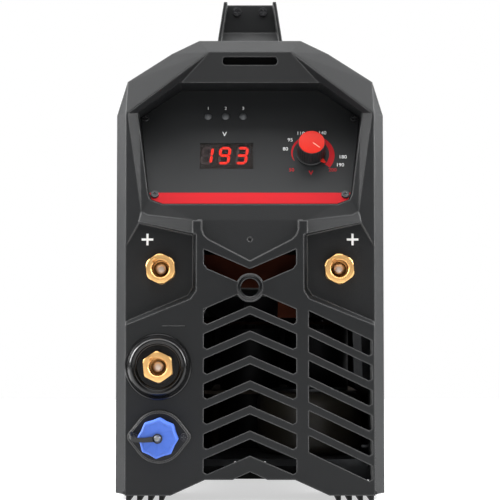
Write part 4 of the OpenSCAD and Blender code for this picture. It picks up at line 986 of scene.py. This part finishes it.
@dataclass
class VoltageKnob:
    """The voltage knob: fluted skirt, red top with its line, and the pointer at its foot."""

    plane: PanelPlane
    pointer_turn: float = -40.0
    lift: float = 1.0
    foot_r: float = 11.0
    foot_bore_r: float = 7.9
    foot_h: float = 1.4
    foot_ease: float = 0.4
    skirt_step: float = 0.35
    skirt_top: float = 16.6
    top_r: float = 10.3
    round_from: float = 0.9
    round_in: float = 0.45
    flutes: int = 30
    flute_points: int = 6
    flute_depth: float = 0.28
    flute_run: tuple[Point2, ...] = ((0.0, 0.0), (0.06, 1.0), (0.9, 1.0), (0.96, 0.6), (1.0, 0.0))
    disc_r: float = 9.7
    disc_h: float = 17.5
    disc_sunk: float = 0.6
    disc_dish: float = 0.1
    disc_ease: tuple[Point2, ...] = ((0.0, 0.35), (0.12, 0.12), (0.4, 0.0))
    line_w: float = 0.6
    line_run: Point2 = (1.2, 7.8)
    line_sunk: float = 0.3
    line_proud: float = 0.06
    pointer_w: float = 4.4
    pointer_h: float = 2.6
    pointer_root: float = 9.0
    pointer_tip: float = 14.2
    pointer_ease: float = 0.25

    def build(self) -> None:
        """Makes the knob's pieces, which ride on the knob."""
        at = self.plane.at(spin=self.pointer_turn)
        self.build_skirt(at)
        self.build_top(at)
        root, half = self.pointer_root, self.pointer_w / 2
        tip = [(root, -half), (self.pointer_tip, 0.0), (root, half)]
        pointer = Shape().drawn(at, tip, self.lift, self.lift + self.pointer_h).eased(self.pointer_ease)
        pointer.made("knob_pointer", KNOB_RED, "knob_red", "knob")

    def build_skirt(self, at: Matrix) -> None:
        """Makes the foot and the fluted skirt on it.

        Args:
            at: Place of the knob.
        """
        bore, edge = self.foot_bore_r, self.foot_r
        low, high = self.lift, self.lift + self.foot_h
        rim = [(edge, low), (edge, high - self.foot_ease), (edge - self.foot_ease, high)]
        skirt = Shape().turned(at, [(bore, low), *rim, (bore, high)], closed=True)
        base = edge - self.skirt_step
        rings = []
        for level, depth in self.flute_run:
            outer = base + (self.top_r - base) * level
            outer -= self.round_in * max(0.0, level - self.round_from) / (1 - self.round_from)
            rings.append((self.fluted(outer, depth), high + (self.skirt_top - high) * level))
        skirt.lofted(at, rings).made("knob_skirt", KNOB, "knob_black", "knob", ["knob_body"])

    def build_top(self, at: Matrix) -> None:
        """Makes the red disc on the skirt and the line on it.

        Args:
            at: Place of the knob.
        """
        rim = [(self.disc_r - cut, self.disc_h - drop) for cut, drop in self.disc_ease]
        foot = (self.disc_r, self.skirt_top - self.disc_sunk)
        disc = Shape().turned(at, [foot, *rim, (TIP_R, self.disc_h - self.disc_dish)])
        disc.made("knob_top", KNOB_RED, "knob_red", "knob", ["knob_cap"])
        half = self.line_w / 2
        start, end = self.line_run
        line = [(start, -half), (end, -half), (end, half), (start, half)]
        mark = Shape().drawn(at, line, self.disc_h - self.line_sunk, self.disc_h + self.line_proud)
        mark.made("knob_line", POINTER, "knob_red", "knob")

    def fluted(self, radius: float, depth: float) -> list[Point2]:
        """Returns the outline of the skirt with its shallow flutes.

        Args:
            radius: Radius over the flutes' crests.
            depth: Share of the full flute depth.

        Returns:
            The outline's points.
        """
        sides = self.flutes * self.flute_points
        points = []
        for i in range(sides):
            angle = 360.0 * i / sides
            wave = 0.5 - 0.5 * math.cos(math.radians(angle * self.flutes))
            points.append(polar(radius - self.flute_depth * depth * wave, angle))
        return points


@dataclass
class SocketMarks:
    """The white plus signs on the floors of the two pockets, and the moulded bar over the gun socket."""

    arm: float = 4.3
    stroke: float = 0.8
    proud: float = 0.25
    sunk: float = 0.1
    at_x: float = 76.1
    at_z: float = 192.2
    pocket_depth: float = 10.0
    bar_at: Point2 = (-56.3, 128.1)
    bar_halves: Point2 = (8.5, 0.45)
    bar_ease: float = 0.12

    def build(self) -> None:
        """Makes both signs and the bar."""
        a, s = self.arm, self.stroke
        cross = [
            (-s, -a), (s, -a), (s, -s), (a, -s), (a, s), (s, s),
            (s, a), (-s, a), (-s, s), (-a, s), (-a, -s), (-s, -s),
        ]
        signs = Shape()
        for x in (-self.at_x, self.at_x):
            at = place((x, front_face() + self.pocket_depth, self.at_z))
            signs.drawn(at, cross, -self.sunk, self.proud)
        signs.made("plus_marks", WHITE_PRINT, "cover_plastic")
        bar_x, bar_z = self.bar_at
        at = place((bar_x, front_face(), bar_z))
        bar = Shape().drawn(at, rectangle(*self.bar_halves), -self.sunk, self.proud)
        bar.eased(self.bar_ease).made("gun_mark", COVER, "cover_plastic")


@dataclass
class BrassSocket:
    """A brass weld socket: a hexagon with blunt corners, a keyed bore, and the bolt's end in it."""

    node: str
    name: str
    hex_h: float
    turn: float = 35.0
    flats: float = 20.8
    corner_r: float = 11.3
    body_r: float = 9.0
    body_l: float = 24.0
    bore_r: float = 6.5
    bore_l: float = 16.0
    neck_r: float = 5.6
    neck_l: float = 26.0
    thread_r: float = 4.3
    key_half: float = 1.6
    key_out: float = 1.6
    key_l: float = 7.0
    ease: float = 1.7
    blunting: tuple[Point2, ...] = ((0.0, 1.0), (0.2, 0.6), (0.5, 0.28), (0.9, 0.08))
    mouth: float = 0.7
    land_r: float = 9.95
    sides: int = 180
    bolt_depth: float = 17.0
    bolt_sides: int = 48
    bolt_end: tuple[Point2, ...] = (
        (3.9, -0.2), (3.9, 6.4), (3.65, 7.0), (2.9, 7.5), (1.5, 7.8), (TIP_R, 7.8),
    )

    def build(self) -> None:
        """Makes the socket and the domed end of the bolt in it."""
        box = NodeBox(self.node)
        seat_y = box.low.y + self.hex_h
        at = place((box.middle.x, seat_y, box.middle.z), spin=self.turn)
        top, corner = self.hex_h, self.corner_r
        thread, body, land, bore, neck = (
            circle(radius, self.sides)
            for radius in (self.thread_r, self.body_r, self.land_r, self.bore_r, self.neck_r)
        )
        levels = [
            (thread, -self.body_l), (body, -self.body_l), (body, 0.0), (self.hexagon(corner), 0.0),
            *((self.hexagon(corner - cut), top - share * self.ease) for cut, share in self.blunting),
            (land, top), (self.keyed(self.bore_r + self.mouth), top),
            (self.keyed(self.bore_r), top - self.mouth), (self.keyed(self.bore_r), top - self.key_l),
            (bore, top - self.key_l), (bore, top - self.bore_l), (neck, top - self.bore_l),
            (neck, top - self.neck_l), (thread, top - self.neck_l),
        ]
        Shape().looped(at, levels).made(self.name, BRASS, "brass", replaces=[self.node])
        # The bolt's end is paler than the bolt: painted light in the bore's shade.
        tip = place((box.middle.x, box.low.y + self.bolt_depth, box.middle.z))
        end = Shape().turned(tip, self.bolt_end, self.bolt_sides)
        end.made(self.name + "_bolt_end", LIT_BOLT_END, "bright_steel")

    def hexagon(self, limit: float) -> list[Point2]:
        """Returns the hexagon's outline with its corners cut to a circle.

        Args:
            limit: The circle's radius.

        Returns:
            The outline's points.
        """
        points = []
        for i in range(self.sides):
            angle = 360.0 * i / self.sides
            reach = min(limit, self.flats / 2 / math.cos(math.radians(angle % 60 - 30)))
            points.append(polar(reach, angle))
        return points

    def keyed(self, radius: float) -> list[Point2]:
        """Returns the bore's outline with the key's slot at the top.

        Args:
            radius: The bore's radius.

        Returns:
            The outline's points.
        """
        return [
            (x, y) if abs(x) > self.key_half or y < 0 else (x, y + self.key_out)
            for x, y in circle(radius, self.sides)
        ]


@dataclass
class GunRing:
    """The glossy insulating ring round the gun socket, with its fine ridges."""

    rim_h: float = 7.0
    seat_h: float = 2.0
    bore_r: float = 9.1
    neck_r: float = 14.0
    sides: int = 120
    slope: tuple[Point2, ...] = (
        (24.5, 0.0), (24.5, 1.0), (24.2, 1.5), (23.4, 1.9), (23.0, 1.7), (22.6, 2.1), (21.4, 4.9),
        (20.9, 5.7), (20.2, 6.6), (19.4, 7.0), (18.6, 7.0), (18.1, 6.7), (17.9, 6.0), (17.3, 5.7),
        (16.9, 5.8), (16.7, 5.2), (16.4, 4.2), (15.9, 4.0), (15.6, 2.9), (15.2, 2.3), (14.4, 2.3),
        (14.2, 2.0), (13.4, 2.0), (13.2, 2.35), (12.7, 2.35), (12.5, 2.0),
    )

    def build(self) -> None:
        """Makes the ring."""
        box = NodeBox("gun_socket_ring")
        back = self.rim_h - (box.high.y - box.low.y)
        at = place((box.middle.x, box.low.y + self.rim_h, box.middle.z))
        neck = [(self.bore_r, back), (self.neck_r, back), (self.neck_r, 0.0)]
        profile = [*neck, *self.slope, (self.bore_r, self.seat_h)]
        shape = Shape().turned(at, profile, self.sides, closed=True)
        shape.made("gun_ring", INSULATOR, "insulator_black", replaces=["gun_socket_ring"])


@dataclass
class ControlConnector:
    """The control connector with its flange, its blue screw cap and the cap's strap."""

    overlap: float = 0.2
    flange_r: float = 19.3
    flange_h: float = 3.0
    flange_ease: float = 0.7
    ear_r: float = 5.2
    ear_x: float = 18.0
    step_in: float = 1.6
    step_h: float = 0.6
    step_ease: float = 0.2
    barrel_rs: Point2 = (9.5, 11.9)
    barrel_l: float = 17.0
    barrel_tail: float = 16.0
    barrel_floor: float = 5.0
    barrel_ease: float = 0.5
    cap_r: float = 14.6
    cap_turn: float = -4.0
    cap_skin: tuple[Point2, ...] = (
        (0.5, 5.0), (0.0, 5.6), (0.0, 20.2), (0.35, 21.3), (1.1, 21.9), (2.2, 22.0),
    )
    cap_hollow: tuple[Point2, ...] = ((11.6, 21.7), (3.4, 21.6), (3.3, 19.0), (12.05, 19.0), (12.05, 5.0))
    lobes: int = 8
    lobe_points: int = 12
    lobe_dip: float = 1.425
    lobe_blunt: float = 1.6
    strap_w: float = 4.6
    strap_t: float = 1.3
    strap_ease: float = 0.2
    strap_out: float = 20.0
    strap_rear: tuple[Point2, ...] = ((1.0, 0.0), (0.4, 0.8), (0.1, 3.0), (0.0, 8.0))
    strap_front: tuple[Point2, ...] = ((0.0, 6.0), (0.2, 2.4), (1.4, 0.5), (4.0, 0.0))
    strap_middle: float = 9.0
    strap_halves: tuple[float, ...] = (3.4, 2.6, 1.9, 1.6, 1.5, 1.5, 1.5, 1.5, 1.6, 1.7, 3.2)
    strap_bow: tuple[float, ...] = (0.0, 0.5, 1.2, 2.0, 2.8, 2.8, 1.8, 0.4, -1.0, -1.0, 0.0)
    screw_x: float = 18.3
    eye_rs: Point2 = (1.95, 3.6)
    eye_sides: int = 40
    blend_in: float = 1.0

    @property
    def centre(self) -> Vector:
        """Centre of the cap, which is on the connector's axis."""
        return NodeBox("connector_cap").middle

    @property
    def face_y(self) -> float:
        """Where the face under the flange is, behind the barrel's mouth."""
        return NodeBox("connector_shell").low.y + self.barrel_l

    def build(self) -> None:
        """Makes the flange with its barrel, the cap and the strap."""
        at = place((self.centre.x, self.face_y, self.centre.z))
        flange = Shape().drawn(at, self.flange_outline(0.0), -self.overlap, self.flange_h)
        flange.eased(self.flange_ease, segments=3)
        low, high = self.flange_h - self.overlap, self.flange_h + self.step_h
        flange.drawn(at, self.flange_outline(self.step_in), low, high).eased(self.step_ease)
        inner, outer = self.barrel_rs
        mouth, tail, ease = self.barrel_l, -self.barrel_tail, self.barrel_ease
        front = [(inner, self.barrel_floor), (inner, mouth), (outer - ease, mouth), (outer, mouth - ease)]
        flange.turned(at, [*front, (outer, tail), (inner, tail)], closed=True)
        flange.made("connector_flange", CONNECTOR, "connector_black", replaces=["connector_shell"])
        self.build_cap()
        self.build_strap()

    def flange_outline(self, inset: float) -> list[Point2]:
        """Returns the flange's outline: a round middle drawn out to an ear on each side.

        Args:
            inset: How far inside the true edge.

        Returns:
            The outline's points.
        """
        big, small = self.flange_r - inset, self.ear_r - inset
        lean = math.degrees(math.acos((self.flange_r - self.ear_r) / self.ear_x))
        right = arc(small, -lean, lean, 12, (self.ear_x, 0))
        top = arc(big, lean, 180 - lean, 24)
        left = arc(small, 180 - lean, 180 + lean, 12, (-self.ear_x, 0))
        bottom = arc(big, 180 + lean, 360 - lean, 24)
        return right + top + left + bottom

    def lobed(self, radius: float) -> list[Point2]:
        """Returns the cap's outline: blunt corners with slightly hollow sides between them.

        Args:
            radius: Radius at the corners.

        Returns:
            The outline's points.
        """
        sides = self.lobes * self.lobe_points
        points = []
        for i in range(sides):
            share = abs(i / self.lobe_points % 1 - 0.5) * 2
            points.append(polar(radius - self.lobe_dip * (1 - share ** self.lobe_blunt), 360.0 * i / sides))
        return points

    def build_cap(self) -> None:
        """Makes the screw cap."""
        at = place((self.centre.x, self.face_y, self.centre.z), spin=self.cap_turn)
        sides = self.lobes * self.lobe_points
        outlines = [(self.lobed(self.cap_r - cut), z) for cut, z in self.cap_skin]
        outlines += [(circle(radius, sides), z) for radius, z in self.cap_hollow]
        Shape().looped(at, outlines).made("screw_cap", CAP_BLUE, "cap_blue", "screw_cap", ["connector_cap"])

    def build_strap(self) -> None:
        """Makes the strap: an eye under the left flange screw, a bow, and an eye under the rivet."""
        strap = NodeBox("cap_strap")
        half = self.strap_t / 2
        front, back = strap.low.y + half, strap.high.y - half
        x, z = self.centre.x, self.centre.z
        out = x - self.strap_out
        path = [
            Vector((x - self.screw_x, back, z)),
            *(Vector((out + aside, back - ahead, z)) for aside, ahead in self.strap_rear),
            *(Vector((out + aside, front + behind, z)) for aside, behind in self.strap_front),
            Vector((x - self.strap_middle, front, z)), Vector((x, front, z)),
        ]
        up = Vector((0, 0, 1))
        corners = ((1, 1), (-1, 1), (-1, -1), (1, -1))
        rings = []
        for i, point in enumerate(path):
            along = (path[min(i + 1, len(path) - 1)] - path[max(i - 1, 0)]).normalized()
            here = point + up * self.strap_bow[i]
            thick = along.cross(up) * half
            wide = up * min(self.strap_halves[i], self.strap_w / 2)
            rings.append([(here + wide * a + thick * b) * MM for a, b in corners])
        shape = Shape().skinned(rings)
        inner, outer = self.eye_rs
        eye = [(inner, -half), (outer, -half), (outer, half), (inner, half)]
        for eye_x, eye_y in ((x - self.screw_x, back), (x, front)):
            shape.turned(place((eye_x, eye_y, z)), eye, self.eye_sides, closed=True)
        shape.eased(self.strap_ease)
        piece = shape.made("cap_strap_bow", STRAP, "foot_rubber", replaces=["cap_strap"], rides=False)
        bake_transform(piece)


@dataclass
class RingBoss:
    """The smooth lip of the ring in the middle of the vee slot, in a darker copy of the cover plastic:
    painted shade.
    """

    z: float = 156.2
    hole_r: float = 6.6
    wall: float = 2.5
    proud: float = 2.5
    skin: float = 0.12
    depth: float = 2.9
    skirt: float = 1.0
    skirt_from: float = 0.5
    inner_ease: tuple[Point2, ...] = ((0.0, 0.9), (0.25, 0.35), (0.8, 0.0))
    outer_ease: tuple[Point2, ...] = ((1.0, 0.0), (0.3, 0.3), (0.0, 0.95))

    def build(self) -> None:
        """Makes the lip over the cover's own ring."""
        at = place((0, front_face(), self.z))
        inner, outer = self.hole_r - self.skin, self.hole_r + self.wall + self.skin
        top, back = self.proud + self.skin, inner + self.skirt
        lip = [
            (inner, -self.depth),
            *((inner + cut, top - drop) for cut, drop in self.inner_ease),
            *((outer - cut, top - drop) for cut, drop in self.outer_ease),
            (outer, 0.0), (back, -self.skirt_from), (back, -self.depth),
        ]
        Shape().turned(at, lip, closed=True).made("ring_lip", SHADED_RING_LIP, "cover_plastic")


@dataclass
class CoverInserts:
    """The hood slot's strip and the base plate's front lip behind the lowest vent slots, both near-black:
    painted shade that makes the openings read dark.
    """

    slot_halves: Point2 = (20.2, 2.6)
    slot_round: float = 2.2
    slot_z: float = 326.6
    slot_floor: float = 19.0
    slot_fill: float = 1.6
    slot_sunk: float = 0.1
    slot_ease: float = 0.3
    lip_half: float = 38.0
    lip_low: float = 16.0
    lip_high: float = 25.4
    lip_behind: float = 4.2
    lip_t: float = 1.2
    lip_ease: float = 0.2

    def build(self) -> None:
        """Makes both."""
        at = place((0, front_face() + self.slot_floor, self.slot_z))
        outline = rounded_box(*self.slot_halves, self.slot_round)
        strip = Shape().drawn(at, outline, -self.slot_sunk, self.slot_fill).eased(self.slot_ease)
        strip.made("hood_slot_shade", SHADE_BLACK, "foot_rubber")
        w, low, high = self.lip_half, self.lip_low, self.lip_high
        at = place((0, front_face() + self.lip_behind, 0))
        lip = Shape().drawn(at, [(-w, low), (w, low), (w, high), (-w, high)], -self.lip_t, 0.0)
        lip.eased(self.lip_ease).made("base_lip_shade", SHADE_BLACK, "zinc_sheet")


@dataclass
class CarryingGrip:
    """The grip of the carrying handle with its ribbed soft sleeve."""

    ribs: int = 26
    rib_pitch: float = 6.4
    rib_w: float = 3.6
    rib_h: float = 1.0
    rib_sunk: float = 0.1
    shoulder_share: float = 0.7
    shoulder_in: float = 0.5
    round_r: float = 7.0
    end_in: float = 0.6
    end_run: float = 1.0

    def build(self) -> None:
        """Makes the grip's core and the ribbed sleeve round it."""
        box = NodeBox("handle_grip")
        size = box.high - box.low
        at = place((0, box.low.y, box.middle.z), Facing.REAR)
        whole, inner = self.outline(size, 0.0), self.outline(size, self.end_in)
        ends = [(inner, 0.0), (whole, self.end_run), (whole, size.y - self.end_run), (inner, size.y)]
        Shape().lofted(at, ends).made("grip_core", HANDLE, "handle_plastic", replaces=["handle_grip"])
        half, shoulder = self.rib_w / 2, -self.rib_h * self.shoulder_share
        section = [
            (self.rib_sunk, -half), (shoulder, self.shoulder_in - half), (-self.rib_h, 0.0),
            (shoulder, half - self.shoulder_in), (self.rib_sunk, half),
        ]
        first = (size.y - (self.ribs - 1) * self.rib_pitch) / 2
        sleeve = Shape()
        for i in range(self.ribs):
            y = first + i * self.rib_pitch
            sleeve.lofted(at, [(self.outline(size, inset), y + along) for inset, along in section])
        sleeve.made("grip_ribs", GRIP_RUBBER, "handle_plastic")

    def outline(self, size: Vector, inset: float) -> list[Point2]:
        """Returns the grip's section, a rounded rectangle.

        Args:
            size: Size of the grip's box.
            inset: How far inside the box, or outside if negative.

        Returns:
            The outline's points.
        """
        return rounded_box(size.x / 2 - inset, size.z / 2 - inset, self.round_r - inset)


@dataclass
class RearFan:
    """The fan behind its wire guard: curved blades and round guard wires."""

    wire_r: float = 1.1
    wire_sides: int = 10
    rings: int = 6
    ring_points: int = 72
    first_ring: float = 15.0
    last_share: float = 1.06
    eye_in: float = 5.0
    eye_r: float = 3.6
    eye_points: int = 32
    arm_from: float = 6.0
    arm_short: float = 3.2
    disc: tuple[Point2, ...] = ((8.0, 0.2), (8.0, 1.4), (7.4, 2.0), (0.1, 2.0))
    disc_sides: int = 48
    hub_r: float = 19.0
    hub_ease: float = 0.8
    hub_nose: tuple[Point2, ...] = ((0.0, 2.0), (0.6, 0.6), (2.0, 0.0))
    shaft_r: float = 2.1
    blades: int = 7
    blade_steps: int = 9
    blade_root: float = 1.0
    tip_r: float = 55.0
    blade_t: float = 1.6
    blade_lap: float = 1.07
    blade_pitches: Point2 = (30.0, 11.5)
    blade_sweep: float = 14.0
    sweep_power: float = 1.5
    blade_camber: float = 2.2
    blade_clear: float = 0.4
    blade_upper: tuple[Point2, ...] = ((-0.5, 0.0), (-0.3, 0.8), (0.0, 1.0), (0.3, 0.8), (0.5, 0.0))

    def build(self) -> None:
        """Makes the guard and the rotor."""
        self.build_guard()
        self.build_rotor()

    def build_guard(self) -> None:
        """Makes the guard: wire rings on four arms that end in eyes."""
        box = NodeBox("fan_guard")
        x, z = box.middle.x, box.middle.z
        eye = (box.high.x - box.low.x) / 2 - self.eye_in
        last = eye * self.last_share
        ring_y, arm_y = box.high.y - self.wire_r, box.low.y + self.wire_r
        shape = Shape()
        for i in range(self.rings):
            radius = self.first_ring + (last - self.first_ring) * i / (self.rings - 1)
            self.add_wire_ring(shape, (x, ring_y, z), radius, self.ring_points)
        for sx, sz in ((1, 1), (-1, 1), (-1, -1), (1, -1)):
            steps = (self.arm_from, eye / 2, eye - self.arm_short)
            shape.swept([(x + sx * s, arm_y, z + sz * s) for s in steps], self.wire_r, self.wire_sides)
            self.add_wire_ring(shape, (x + sx * eye, arm_y, z + sz * eye), self.eye_r, self.eye_points)
        shape.turned(place((x, box.low.y, z), Facing.REAR), self.disc, self.disc_sides)
        shape.made("guard_wires", CHROME, "guard_chrome", replaces=["fan_guard"])

    def add_wire_ring(self, shape: Shape, at: Point3, radius: float, points: int) -> None:
        """Adds a ring of guard wire.

        Args:
            shape: The guard so far.
            at: Centre of the ring.
            radius: Its radius.
            points: How many points it has.
        """
        x, y, z = at
        ring = [(x + a, y, z + b) for a, b in circle(radius, points)]
        shape.swept(ring, self.wire_r, self.wire_sides, loop=True)

    def build_rotor(self) -> None:
        """Makes the rotor with its twisted blades."""
        box = NodeBox("fan_rotor")
        at = place((box.middle.x, box.low.y, box.middle.z), Facing.REAR)
        depth = box.high.y - box.low.y
        back = [(self.shaft_r, 0.0), (self.hub_r - self.hub_ease, 0.0), (self.hub_r, self.hub_ease)]
        nose = [(self.hub_r - cut, depth - drop) for cut, drop in self.hub_nose]
        shape = Shape().turned(at, [*back, *nose, (self.shaft_r, depth)], closed=True)
        for i in range(self.blades):
            self.add_blade(shape, at @ Matrix.Rotation(2 * math.pi * i / self.blades, 4, "Z"), depth)
        shape.made("rotor_blades", FAN, "fan_plastic", "fan_wheel", ["fan_rotor"])

    def add_blade(self, shape: Shape, at: Matrix, depth: float) -> None:
        """Adds one blade, steep at the hub and flat at the tip.

        Args:
            shape: The rotor so far.
            at: Place of the blade.
            depth: Depth of the rotor.
        """
        section = [*self.blade_upper, *((along, -side) for along, side in self.blade_upper[-2:0:-1])]
        steep, flat = self.blade_pitches
        root, limit = self.hub_r - self.blade_root, depth / 2 - self.blade_clear
        rings = []
        for i in range(self.blade_steps):
            share = i / (self.blade_steps - 1)
            radius = root + (self.tip_r - root) * share
            pitch = math.radians(steep + (flat - steep) * share)
            chord = 2 * math.pi * radius / self.blades * self.blade_lap / math.cos(pitch)
            sweep = math.radians(self.blade_sweep) * share ** self.sweep_power
            profile = []
            for along, side in section:
                u = along * chord
                v = side * self.blade_t / 2 + self.blade_camber * (0.25 - along * along)
                turn = sweep + (u * math.cos(pitch) - v * math.sin(pitch)) / radius
                height = u * math.sin(pitch) + v * math.cos(pitch)
                level = depth / 2 + max(-limit, min(limit, height))
                profile.append(at @ Vector((radius * math.cos(turn), radius * math.sin(turn), level)))
            rings.append(profile)
        shape.skinned(rings)


@dataclass
class SwitchMarks:
    """The plain on and off marks on the rocker."""

    swing: float = 22.0
    ink: float = 0.12
    sunk: float = 0.1
    reach: float = 5.4
    lift: float = 4.22
    slope_rise: float = 2.3
    slope_run: float = 11.2
    bar_halves: Point2 = (0.4, 2.0)
    ring_rs: Point2 = (1.5, 2.1)
    ring_sides: int = 40

    def build(self) -> None:
        """Makes the bar and the ring, which ride on the rocker."""
        marks = Shape().drawn(self.seat(1), rectangle(*self.bar_halves), -self.sunk, self.ink)
        inner, outer = self.ring_rs
        ring = [(inner, -self.sunk), (outer, -self.sunk), (outer, self.ink), (inner, self.ink)]
        marks.turned(self.seat(-1), ring, self.ring_sides, closed=True)
        marks.made("rocker_marks", WHITE_PRINT, "rocker_red", "rocker")

    def seat(self, side: int) -> Matrix:
        """Makes the placing matrix of a mark on one of the rocker's two slopes.

        Args:
            side: 1 for the upper slope, -1 for the lower one.

        Returns:
            The placing matrix.
        """
        pivot = Vector(joint_named("rocker_tilt")["pos_m"]) / MM
        rest = Matrix.Rotation(math.radians(self.swing / 2), 4, "X")
        tilt = Matrix.Translation(pivot * MM) @ rest @ Matrix.Translation(-pivot * MM)
        slope = Matrix.Rotation(side * math.atan2(self.slope_rise, self.slope_run), 4, "X")
        return tilt @ place((pivot.x, pivot.y + self.lift, pivot.z + side * self.reach), Facing.REAR) @ slope


@dataclass(frozen=True)
class Softbox:
    """A square softbox: where it stands, what it points at, its side in metres and its face's brightness."""

    name: str
    at: Point3
    target: Point3
    size: float
    glow: float

    def build(self) -> None:
        """Adds the light to the scene."""
        data = bpy.data.lights.new(self.name, "AREA")
        data.size = self.size
        data.energy = self.glow * math.pi * self.size ** 2
        lamp = bpy.data.objects.new(self.name, data)
        lamp.location = Vector(self.at) * MM
        lamp.rotation_mode = "QUATERNION"
        lamp.rotation_quaternion = (Vector(self.target) - Vector(self.at)).to_track_quat("-Z", "Y")
        bpy.context.scene.collection.objects.link(lamp)


SOFTBOXES = (
    Softbox("top_softbox", (0, -300, 1700), (0, 0, 150), 1.6, 4.7),
    Softbox("left_high", (-1100, -250, 1400), (0, -100, 200), 0.9, 7.6),
    Softbox("right_high", (1100, -250, 1400), (0, -100, 200), 0.9, 7.2),
    Softbox("left_side", (-1200, -150, 620), (0, -100, 200), 0.7, 20.0),
    Softbox("right_side", (1200, -150, 620), (0, -100, 200), 0.7, 20.0),
    Softbox("front_fill", (0, -1900, 1500), (0, 0, 180), 1.2, 1.7),
    Softbox("rear_softbox", (0, 1900, 1900), (0, 400, 0), 1.8, 2.4),
)


@dataclass
class Studio:
    """The pale floor, the soft lights and the camera."""

    camera_at: Point3 = (0.0, -1409.9, 121.0)
    camera_pitch: float = 3.0
    lens: float = 117.55
    sensor: float = 36.0
    floor_half: float = 1700.0
    seen_tint: Color = (1.0, 1.0, 1.0)
    soft_tint: Color = (0.96, 0.98, 1.0)
    soft_light: float = 0.08

    def build(self) -> None:
        """Sets up the stage."""
        scene = bpy.context.scene
        scene.view_settings.view_transform = "Standard"
        self.build_floor()
        self.build_world()
        for softbox in SOFTBOXES:
            softbox.build()
        data = bpy.data.cameras.new("camera")
        data.lens = self.lens
        data.sensor_width = self.sensor
        camera = bpy.data.objects.new("camera", data)
        camera.location = Vector(self.camera_at) * MM
        camera.rotation_euler = (math.radians(90 + self.camera_pitch), 0, 0)
        scene.collection.objects.link(camera)
        scene.camera = camera

    def build_floor(self) -> None:
        """Makes the flat floor."""
        mesh = bpy.data.meshes.new("floor")
        corners = rectangle(self.floor_half, self.floor_half)
        mesh.from_pydata([Vector((x, y, 0)) * MM for x, y in corners], [], [(0, 1, 2, 3)])
        mesh.materials.append(FLOOR.material())
        floor = bpy.data.objects.new("floor", mesh)
        bpy.context.scene.collection.objects.link(floor)

    def build_world(self) -> None:
        """Makes a white surround that lights the machine only softly."""
        world = bpy.data.worlds.new("surround")
        bpy.context.scene.world = world
        world.use_nodes = True
        tree = world.node_tree
        tree.nodes.clear()
        path = tree.nodes.new("ShaderNodeLightPath")
        seen = tree.nodes.new("ShaderNodeBackground")
        seen.inputs["Color"].default_value = (*self.seen_tint, 1.0)
        seen.inputs["Strength"].default_value = 1.0
        soft = tree.nodes.new("ShaderNodeBackground")
        soft.inputs["Color"].default_value = (*self.soft_tint, 1.0)
        soft.inputs["Strength"].default_value = self.soft_light
        mix = tree.nodes.new("ShaderNodeMixShader")
        out = tree.nodes.new("ShaderNodeOutputWorld")
        tree.links.new(path.outputs["Is Camera Ray"], mix.inputs[0])
        tree.links.new(soft.outputs[0], mix.inputs[1])
        tree.links.new(seen.outputs[0], mix.inputs[2])
        tree.links.new(mix.outputs[0], out.inputs[0])


def main() -> None:
    """Builds the machine's looks, one sub-assembly after another."""
    logging.basicConfig(level=logging.INFO, format="%(name)s: %(message)s")
    plane = PanelPlane()
    Studio().build()
    Solids().dress()
    PanelPrint(plane).build()
    StatusLamps(plane).build()
    DigitalDisplay(plane).build()
    VoltageKnob(plane).build()
    SocketMarks().build()
    BrassSocket("plus_socket_left", "left_plus", 10.0).build()
    BrassSocket("plus_socket_right", "right_plus", 10.0).build()
    BrassSocket("gun_socket", "gun_contact", 7.0, corner_r=11.75).build()
    GunRing().build()
    ControlConnector().build()
    RingBoss().build()
    CoverInserts().build()
    CarryingGrip().build()
    RearFan().build()
    SwitchMarks().build()


if __name__ == "__main__":
    main()
